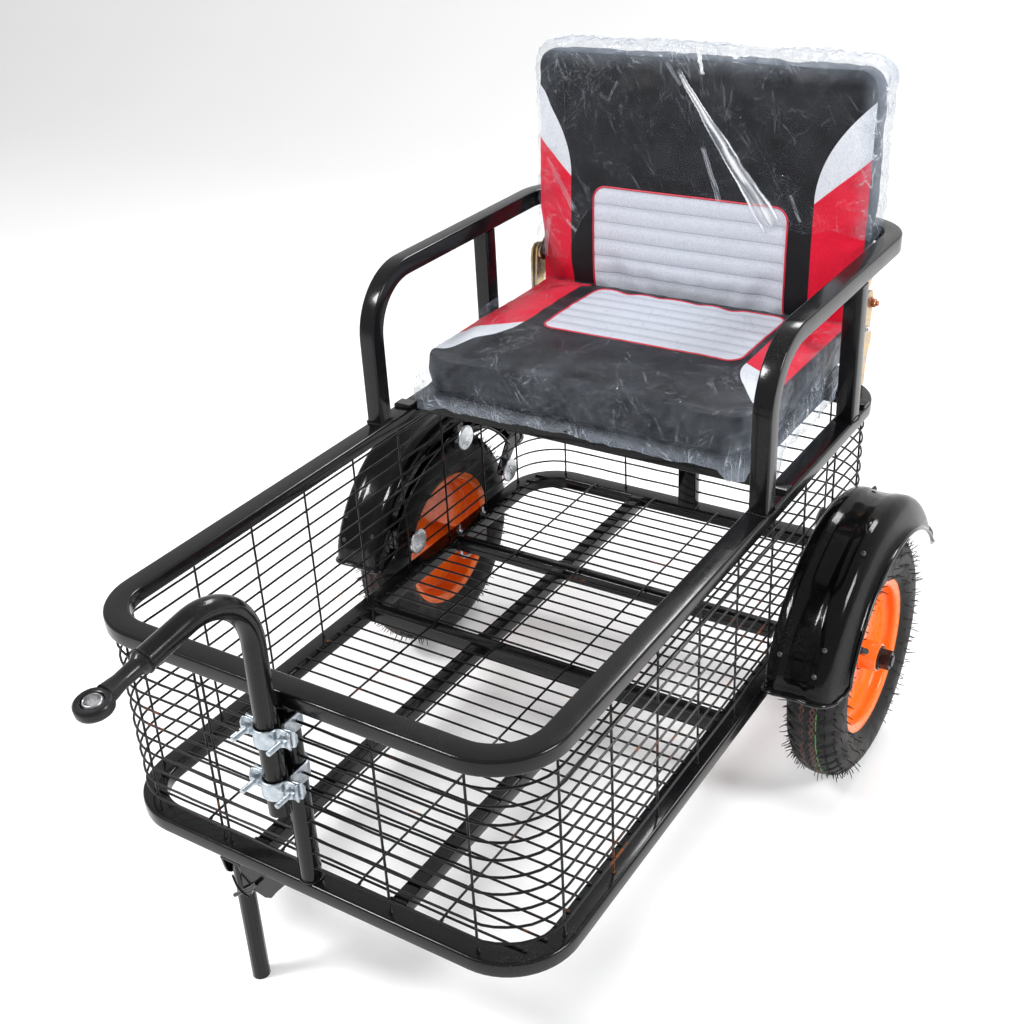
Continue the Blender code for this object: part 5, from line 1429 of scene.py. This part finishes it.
def back_hem(x, y, share):
    """Draw the film's lower edge up to the hem's line."""
    hem = 0.088 + 0.004 * math.sin(x * 37) + 0.003 * math.sin(x * 91 + 1)
    hem -= 0.085 * ramp(-x, 0.150, 0.205) ** 2 + 0.022 * share
    return x, hem + (y - BAG_LOW.y) * (BAG_HIGH.y - hem) / (BAG_HIGH.y - BAG_LOW.y)


def back_shape(place, normal):
    """The film on the backrest: tight on the face, loose over the top and the right side."""
    loose = 1 - normal.z ** 2
    right, top, left = ramp(place.x, 0.236, 0.256), ramp(place.y, 0.285, 0.310), ramp(-place.x, 0.19, 0.24)
    wild = max(0.16, loose, 0.9 * right, 0.65 * top, 0.45 * left)
    lift, fold = crumple(place, LOOSE, 1.3)
    mark = 0.0
    if normal.z > 0.3 or normal.y > 0.5:
        mark = max(stroke(place.x, place.y, *crease) for crease in CREASES)
    puff = 0.5 + noise.noise(place / 0.045)
    lift = 0.0008 + 0.0030 * lift * wild + 0.0035 * puff * loose * (1 - 0.8 * left) + 0.0045 * mark
    # The veil whitens the film as painted sheen: on its folds, over the top and down the right side.
    veil = 0.22 * fold * (wild - 0.16) + 0.10 * right + 0.14 * top
    return normal * lift, veil, max(0.6 * loose, 0.7 * right, 0.35 * top, 0.3 * left)


def seat_shape(place, normal):
    """The film on the seat: thin folds on top, a gathered hem below, loose at the corners and sides."""
    side, front = ramp(abs(place.x), 0.232, 0.250), ramp(place.y, 0.150, 0.168)
    right, left = ramp(-place.x, 0.225, 0.250), ramp(place.x, 0.225, 0.250)
    down = ramp(0.572 - place.z, 0.0, 0.056)
    skirt = ramp(0.5165 - place.z, 0.0, 0.012)
    lift, fold = crumple(place, LOOSE, 8.6)
    wild = max(0.22, 0.5 * front, 0.95 * right, 0.7 * left)
    puff = 0.5 + noise.noise(place / 0.040 + Vector((3.3, 0, 0)))
    move = normal * (0.0006 + 0.0026 * lift * wild + 0.0030 * puff * max(front, side) * down)
    out = 0.012 * left * front * down ** 2
    move.x += math.copysign(out, place.x)
    hang = 0.003 * noise.noise(place / 0.03) + 0.010 * left * front
    hang += right * (0.012 + 0.034 * max(0.0, 1 - abs(place.y - 0.100) / 0.030))
    move.z -= hang * skirt
    # The veil whitens the film: on its folds as painted sheen, and on the gathered hem and the loose right
    # corner.
    veil = 0.2 * fold * (wild - 0.22) + skirt * (0.24 + 0.1 * noise.noise(place / 0.02)) + 0.12 * right * down
    return move, veil, max(0.25 * skirt, 0.10 * front, right * down, 0.5 * left * down)


BAG_LOW, BAG_HIGH = cushion_box("back", (-0.0055, 0, -0.0030), (0.0095, 0.0215, 0.0055))
make_film("back", film_look(CREASES), (BAG_LOW, BAG_HIGH), corners=(0.004, 0.026), crown=0.007,
          warp=back_hem, shape=back_shape, closed_back=True)
make_film("seat", film_look((), 2.4), cushion_box("seat", (-0.0035, 0.004, -0.017), (0.0035, 0.002, 0.006)),
          corners=(0.004, 0.022), crown=0.006, warp=as_cut, shape=seat_shape, closed_back=False)


# ---------------------------------------------------------------- clamps, hinges and other fastenings
# Heights of the two clamps, and how far behind FRONT the axes of the drawbar and of the post are.
CLAMP_LEVELS = {"upper": 0.43845, "lower": 0.37095}
BAR_AXIS, POST_AXIS = -0.0179, 0.0128
ZINC_BRIGHT = plated("fastener_zinc", (0.50, 0.54, 0.57), (0.36, 0.41, 0.46), 0.30)


def spindle(mesh, start, end, profile, sides, turn=0.0):
    """A turned or many-sided piece from start to end: profile is (radius, distance from start)."""
    start, along = Vector(start), (Vector(end) - Vector(start)).normalized()
    across = along.orthogonal().normalized()
    other = along.cross(across)
    ways = [across * math.cos(t + turn) + other * math.sin(t + turn) for t in spaced(sides)]
    rings = [ring(mesh, [start + along * distance + way * radius for way in ways])
             for radius, distance in profile]
    skin(mesh, rings)


def hex_nut(mesh, start, end, across):
    """A chamfered six-sided nut or head from start to end."""
    high = (Vector(end) - Vector(start)).length
    out = across / 2 / math.cos(math.pi / 6)
    c = across * 0.07
    spindle(mesh, start, end, [(out - c, 0), (out, c * 0.6), (out, high - c * 0.6), (out - c, high)], 6, 0.35)


def threads(mesh, start, end, radius):
    """A threaded rod with a chamfered end."""
    pitch = 0.00125
    high = (Vector(end) - Vector(start)).length
    count = int(high / pitch)
    profile = [(radius * 0.7, 0)]
    for i in range(count):
        profile += [(radius * 0.88, (i + 0.15) * pitch), (radius, (i + 0.5) * pitch),
                    (radius, (i + 0.62) * pitch)]
    spindle(mesh, start, end, profile + [(radius * 0.88, high - pitch * 0.1)], 12, 0)


def strap(name, path, height, z, node):
    """A bent strip of zinc-plated steel with rolled, rounded edges."""
    mesh = bmesh.new()
    path = smooth_path([(x, y + FRONT, z) for x, y in path], 0.0016)
    last = len(path) - 1
    ends = [min(1.0, 0.45 + min(i, last - i) / 4) for i in range(last + 1)]
    section = rounded(0.0030, height, 0.0012, 3)
    rings = []
    for i, point in enumerate(path):
        along = (path[min(i + 1, last)] - path[max(i - 1, 0)]).normalized()
        side = along.cross(Vector((0, 0, 1))).normalized()
        rings.append(ring(mesh, [point + side * a + Vector((0, 0, b * ends[i])) for a, b in section]))
    skin(mesh, rings)
    piece(name, mesh, ZINC_BRIGHT, stands_for=node, crease=50)


def make_clamps():
    """Each clamp is a front saddle, a rear strap and two long bolts with nuts in front."""
    for level, z in CLAMP_LEVELS.items():
        front, rear = [(-0.0322, -0.0232), (-0.0302, -0.0196), (-0.0265, -0.0183), (-0.0190, -0.0183)], []
        front += [(0.0145 * math.cos(math.radians(t)), BAR_AXIS + 0.0145 * math.sin(math.radians(t)))
                  for t in range(190, 351, 16)]
        front += [(-x, y) for x, y in front[3::-1]]
        strap(f"clamp_{level}_saddle", front, 0.0225, z, f"clamp_{level}_front")
        rear = [(-0.0322, -0.0098), (-0.0305, -0.0136), (-0.0265, -0.0147), (-0.02, -0.0147),
                (-0.016, -0.0118), (-0.0146, -0.006), (-0.0144, 0.005)]
        rear += [(0.0144 * math.cos(math.radians(t)), POST_AXIS + 0.0144 * math.sin(math.radians(t)))
                 for t in range(180, -1, -18)]
        rear += [(-x, y) for x, y in rear[6::-1]]
        strap(f"clamp_{level}_strap", rear, 0.0215, z, f"clamp_{level}_rear")
        for side, word in SIDES:
            mesh = bmesh.new()
            x = side * 0.0237
            ends = [(x, FRONT + y, z) for y in (-0.0455, -0.0262, -0.0210, -0.0197, -0.0130, -0.0084)]
            threads(mesh, ends[0], (x, FRONT - 0.0090, z), 0.0031)
            hex_nut(mesh, ends[1], ends[2], 0.0102)
            spindle(mesh, ends[2], ends[3], [(0.0034, 0), (0.0062, 0.0001), (0.0064, 0.0006),
                                             (0.0062, 0.0013)], 20)
            hex_nut(mesh, ends[4], ends[5], 0.0100)
            piece(f"clamp_bolt_{level}_{word}_threaded", mesh, ZINC_BRIGHT, crease=35,
                  stands_for=f"clamp_bolt_{level}_{word}")


def make_supports():
    """The cross tubes under the seat, their ends pressed flat on the rails and welded."""
    for name in ("seat_support_front", "seat_support_rear"):
        low, high = (Vector(corner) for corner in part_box(name))
        wide, tall = high.y - low.y, high.z - low.z
        stations = [(high.x - 0.001, 0.20), (high.x - 0.0025, 0.27), (high.x - 0.027, 0.28),
                    (high.x - 0.034, 0.55), (high.x - 0.042, 0.92), (high.x - 0.050, 1.0)]
        stations += [(x, 1.0) for x in (0.18, 0.09, 0.0)]
        stations = [(-x, share) for x, share in stations[:-1]] + stations[::-1]
        mesh = bmesh.new()
        rings = []
        for x, share in stations:
            section = rounded(wide, tall * share, min(0.003, tall * share * 0.45), 4)
            rings.append(ring(mesh, [(x, (low.y + high.y) / 2 + a, low.z + tall * share / 2 + b)
                                     for a, b in section]))
        skin(mesh, rings)
        for side, _ in SIDES:
            for y, seed in ((low.y - 0.0002, 3), (high.y + 0.0002, 5)):
                bead(mesh, straight((side * 0.276, y, low.z + 0.001), (side * 0.297, y, low.z + 0.001),
                                    0.003), 0.0018, seed)
        piece(f"{name}_pressed", mesh, BLACK, stands_for=name)


make_clamps()
make_supports()


# ---------------------------------------------------------------- CAD nodes that stay
wrapped(ZINC, "leg_pin", "axle_u_bolt_left", "axle_u_bolt_right")
wrapped(DARK_STEEL, "axle", "axle_nut_left", "axle_nut_right")
wrapped(GOLD, "hinge_plate_left", "hinge_plate_right", "hinge_arm_left", "hinge_arm_right")
wrapped(BLACK, "leg_bracket", "support_leg", "axle_block_left", "axle_block_right",
        "seat_board", "back_board")


# ---------------------------------------------------------------- hinge straps and leg gusset
STRAP_X = (0.2657, 0.2688)  # the strap's two faces, from the middle of the trailer


def cut_plate(mesh, outline, start, thick):
    """A flat plate of one outline, extruded from start by thick."""
    near = [mesh.verts.new(Vector(start) + Vector(p)) for p in outline]
    far = [mesh.verts.new(Vector(start) + Vector(p) + Vector(thick)) for p in outline]
    mesh.faces.new(near)
    mesh.faces.new(far[::-1])
    for k in range(len(near)):
        n = (k + 1) % len(near)
        mesh.faces.new((near[k], far[k], far[n], near[n]))
    edges = [e for e in mesh.edges if e.is_manifold and e.calc_face_angle(0) > 1.2
             and abs((e.verts[0].co - e.verts[1].co).normalized().dot(Vector(thick).normalized())) < 0.5]
    bmesh.ops.bevel(mesh, geom=edges, offset=0.0006, segments=2, profile=0.5, affect="EDGES")


def make_straps():
    """The outer strap of each hinge with its pivot bolt and a rivet."""
    edge = [(0.976, 0.481), (0.977, 0.503), (0.982, 0.523), (0.992, 0.541), (0.9925, 0.552), (0.985, 0.560),
            (0.985, 0.578), (0.990, 0.594), (0.990, 0.606), (0.986, 0.616), (0.979, 0.620), (0.968, 0.620),
            (0.960, 0.614), (0.956, 0.600), (0.955, 0.481)]
    for side, word in SIDES:
        mesh = bmesh.new()
        cut_plate(mesh, [(0, y + FRONT, z) for y, z in edge], (side * STRAP_X[0], 0, 0),
                  (side * (STRAP_X[1] - STRAP_X[0]), 0, 0))
        piece(f"hinge_strap_{word}", mesh, GOLD, crease=30)
        for name, look, place, parts in (
                ("hinge_bolt", COPPER, (0.980, 0.601),
                 ((0.0083, 0.0012, 24), (0.0062, 0.0062, 6), (0.0036, 0.0038, 24))),
                ("hinge_rivet", ZINC, (0.972, 0.565), ((0.0052, 0.0012, 24), (0.0040, 0.0022, 24)))):
            mesh = bmesh.new()
            at = STRAP_X[1]
            for radius, high, sides in parts:
                start = Vector((side * at, place[0] + FRONT, place[1]))
                end = start + Vector((side * high, 0, 0))
                c = min(0.0006, high * 0.3)
                spindle(mesh, start, end, [(radius - c, 0), (radius, c), (radius, high - c),
                                           (radius - c, high)], sides, 0.2)
                at += high
            piece(f"{name}_{word}", mesh, look, crease=30)


def make_gusset():
    """The pressed gusset beside the prop leg and the locking pin on its cord."""
    outline = [(-0.1012, 0.1972), (-0.1012, 0.1535), (-0.0965, 0.1500), (-0.0905, 0.1560), (-0.0860, 0.1655),
               (-0.0800, 0.1640), (-0.0680, 0.1615), (-0.0580, 0.1655), (-0.0520, 0.1740), (-0.0450, 0.1830),
               (-0.0330, 0.1972)]
    mesh = bmesh.new()
    cut_plate(mesh, [(x, FRONT + 0.0015, z) for x, z in outline], (0, 0, 0), (0, 0.003, 0))
    piece("leg_gusset", mesh, BLACK, crease=30)
    mesh = bmesh.new()
    pin = [(-0.1130, -0.0030, 0.1480), (-0.1000, -0.0032, 0.1590), (-0.0850, -0.0032, 0.1720),
           (-0.0730, -0.0030, 0.1850)]
    clip = [(-0.1110, -0.0030, 0.1800), (-0.1040, -0.0056, 0.1700), (-0.0960, -0.0058, 0.1620),
            (-0.0900, -0.0030, 0.1560)]
    for points, step, section in ((pin, 0.002, circle(0.0026, 12)), (clip, 0.0015, circle(0.0013, 10))):
        path = [Vector((p.x, p.y + FRONT, p.z)) for p in smooth_path(points, step)]
        sweep(mesh, path, section, up=None)
    piece("leg_lock_pin", mesh, BLACK, crease=50)


make_straps()
make_gusset()


# ---------------------------------------------------------------- light, floor and camera
def make_floor():
    """A pale sheet of floor that turns up into a backdrop far behind."""
    mesh = bmesh.new()
    rows = [(-9.0, 0.0), (2.6, 0.0)]
    rows += [(2.6 + 1.5 * math.sin(t), 1.5 - 1.5 * math.cos(t)) for t in
             (math.radians(15 * i) for i in range(1, 7))]
    rows.append((4.1, 9.0))
    rings = [ring(mesh, [(-12, y, z), (12, y, z)]) for y, z in rows]
    skin(mesh, rings, caps=False, wrap=False)
    data = bpy.data.meshes.new("studio_floor")
    mesh.to_mesh(data)
    mesh.free()
    floor = bpy.data.objects.new("studio_floor", data)
    bpy.context.scene.collection.objects.link(floor)
    look = Look("floor_pale", (0.86, 0.86, 0.86), 0.75)
    look.set("Base Color", look.mix(look.noise(0.8, 3), (0.84, 0.84, 0.845), (0.88, 0.88, 0.88)))
    look.bump((look.noise(0.02, 3), 0.05, 0.002))
    rays = [look.node("LightPath", kind) for kind in ("Is Camera Ray", "Is Glossy Ray",
                                                      "Is Transmission Ray")]
    seen = look.largest(*rays)
    look.set("Emission Color", (1, 1, 1, 1))
    look.set("Emission Strength", seen * 0.16)
    data.materials.append(look.material)
    data.polygons.foreach_set("use_smooth", [True] * len(data.polygons))


def area(name, place, target, size, power):
    """A soft lamp aimed at a point."""
    lamp = bpy.data.lights.new(name, "AREA")
    lamp.shape = "RECTANGLE"
    lamp.size, lamp.size_y = size
    lamp.energy = power
    made = bpy.data.objects.new(name, lamp)
    made.location = place
    made.rotation_euler = (Vector(target) - Vector(place)).to_track_quat("-Z", "Y").to_euler()
    bpy.context.scene.collection.objects.link(made)


def make_light():
    """Soft light from all round, brighter from above."""
    world = bpy.data.worlds.new("studio")
    bpy.context.scene.world = world
    world.use_nodes = True
    back = world.node_tree.nodes["Background"]
    back.inputs["Color"].default_value = (1, 1, 1, 1)
    back.inputs["Strength"].default_value = 0.55
    area("key", (-1.6, -1.8, 3.0), (0, 0, 0.3), (0.9, 0.7), 105)
    area("right", (2.6, 0.2, 2.0), (0, 0, 0.4), (0.9, 0.7), 60)
    area("back", (0.2, 2.0, 2.4), (0, 0.2, 0.5), (1.4, 0.5), 45)


def make_camera():
    """The photograph's view."""
    data = bpy.data.cameras.new("photo")
    camera = bpy.data.objects.new("photo", data)
    data.sensor_width = 36
    data.lens = 49.24
    data.shift_x = 0.0235
    data.shift_y = -0.0094
    turn, tilt, roll = math.radians(34.503), math.radians(28.541), math.radians(-3.6435)
    back = Vector((math.sin(turn) * math.cos(tilt), -math.cos(turn) * math.cos(tilt), math.sin(tilt)))
    right = Vector((math.cos(turn), math.sin(turn), 0))
    up = back.cross(right)
    across = math.cos(roll) * right + math.sin(roll) * up
    rise = -math.sin(roll) * right + math.cos(roll) * up
    basis = Matrix((across, rise, back)).transposed().to_4x4()
    camera.matrix_world = Matrix.Translation((0.8495, FRONT - 0.8313, 1.3153)) @ basis
    bpy.context.scene.collection.objects.link(camera)
    bpy.context.scene.camera = camera


make_floor()
make_light()
make_camera()
bpy.context.scene.view_settings.view_transform = "Standard"
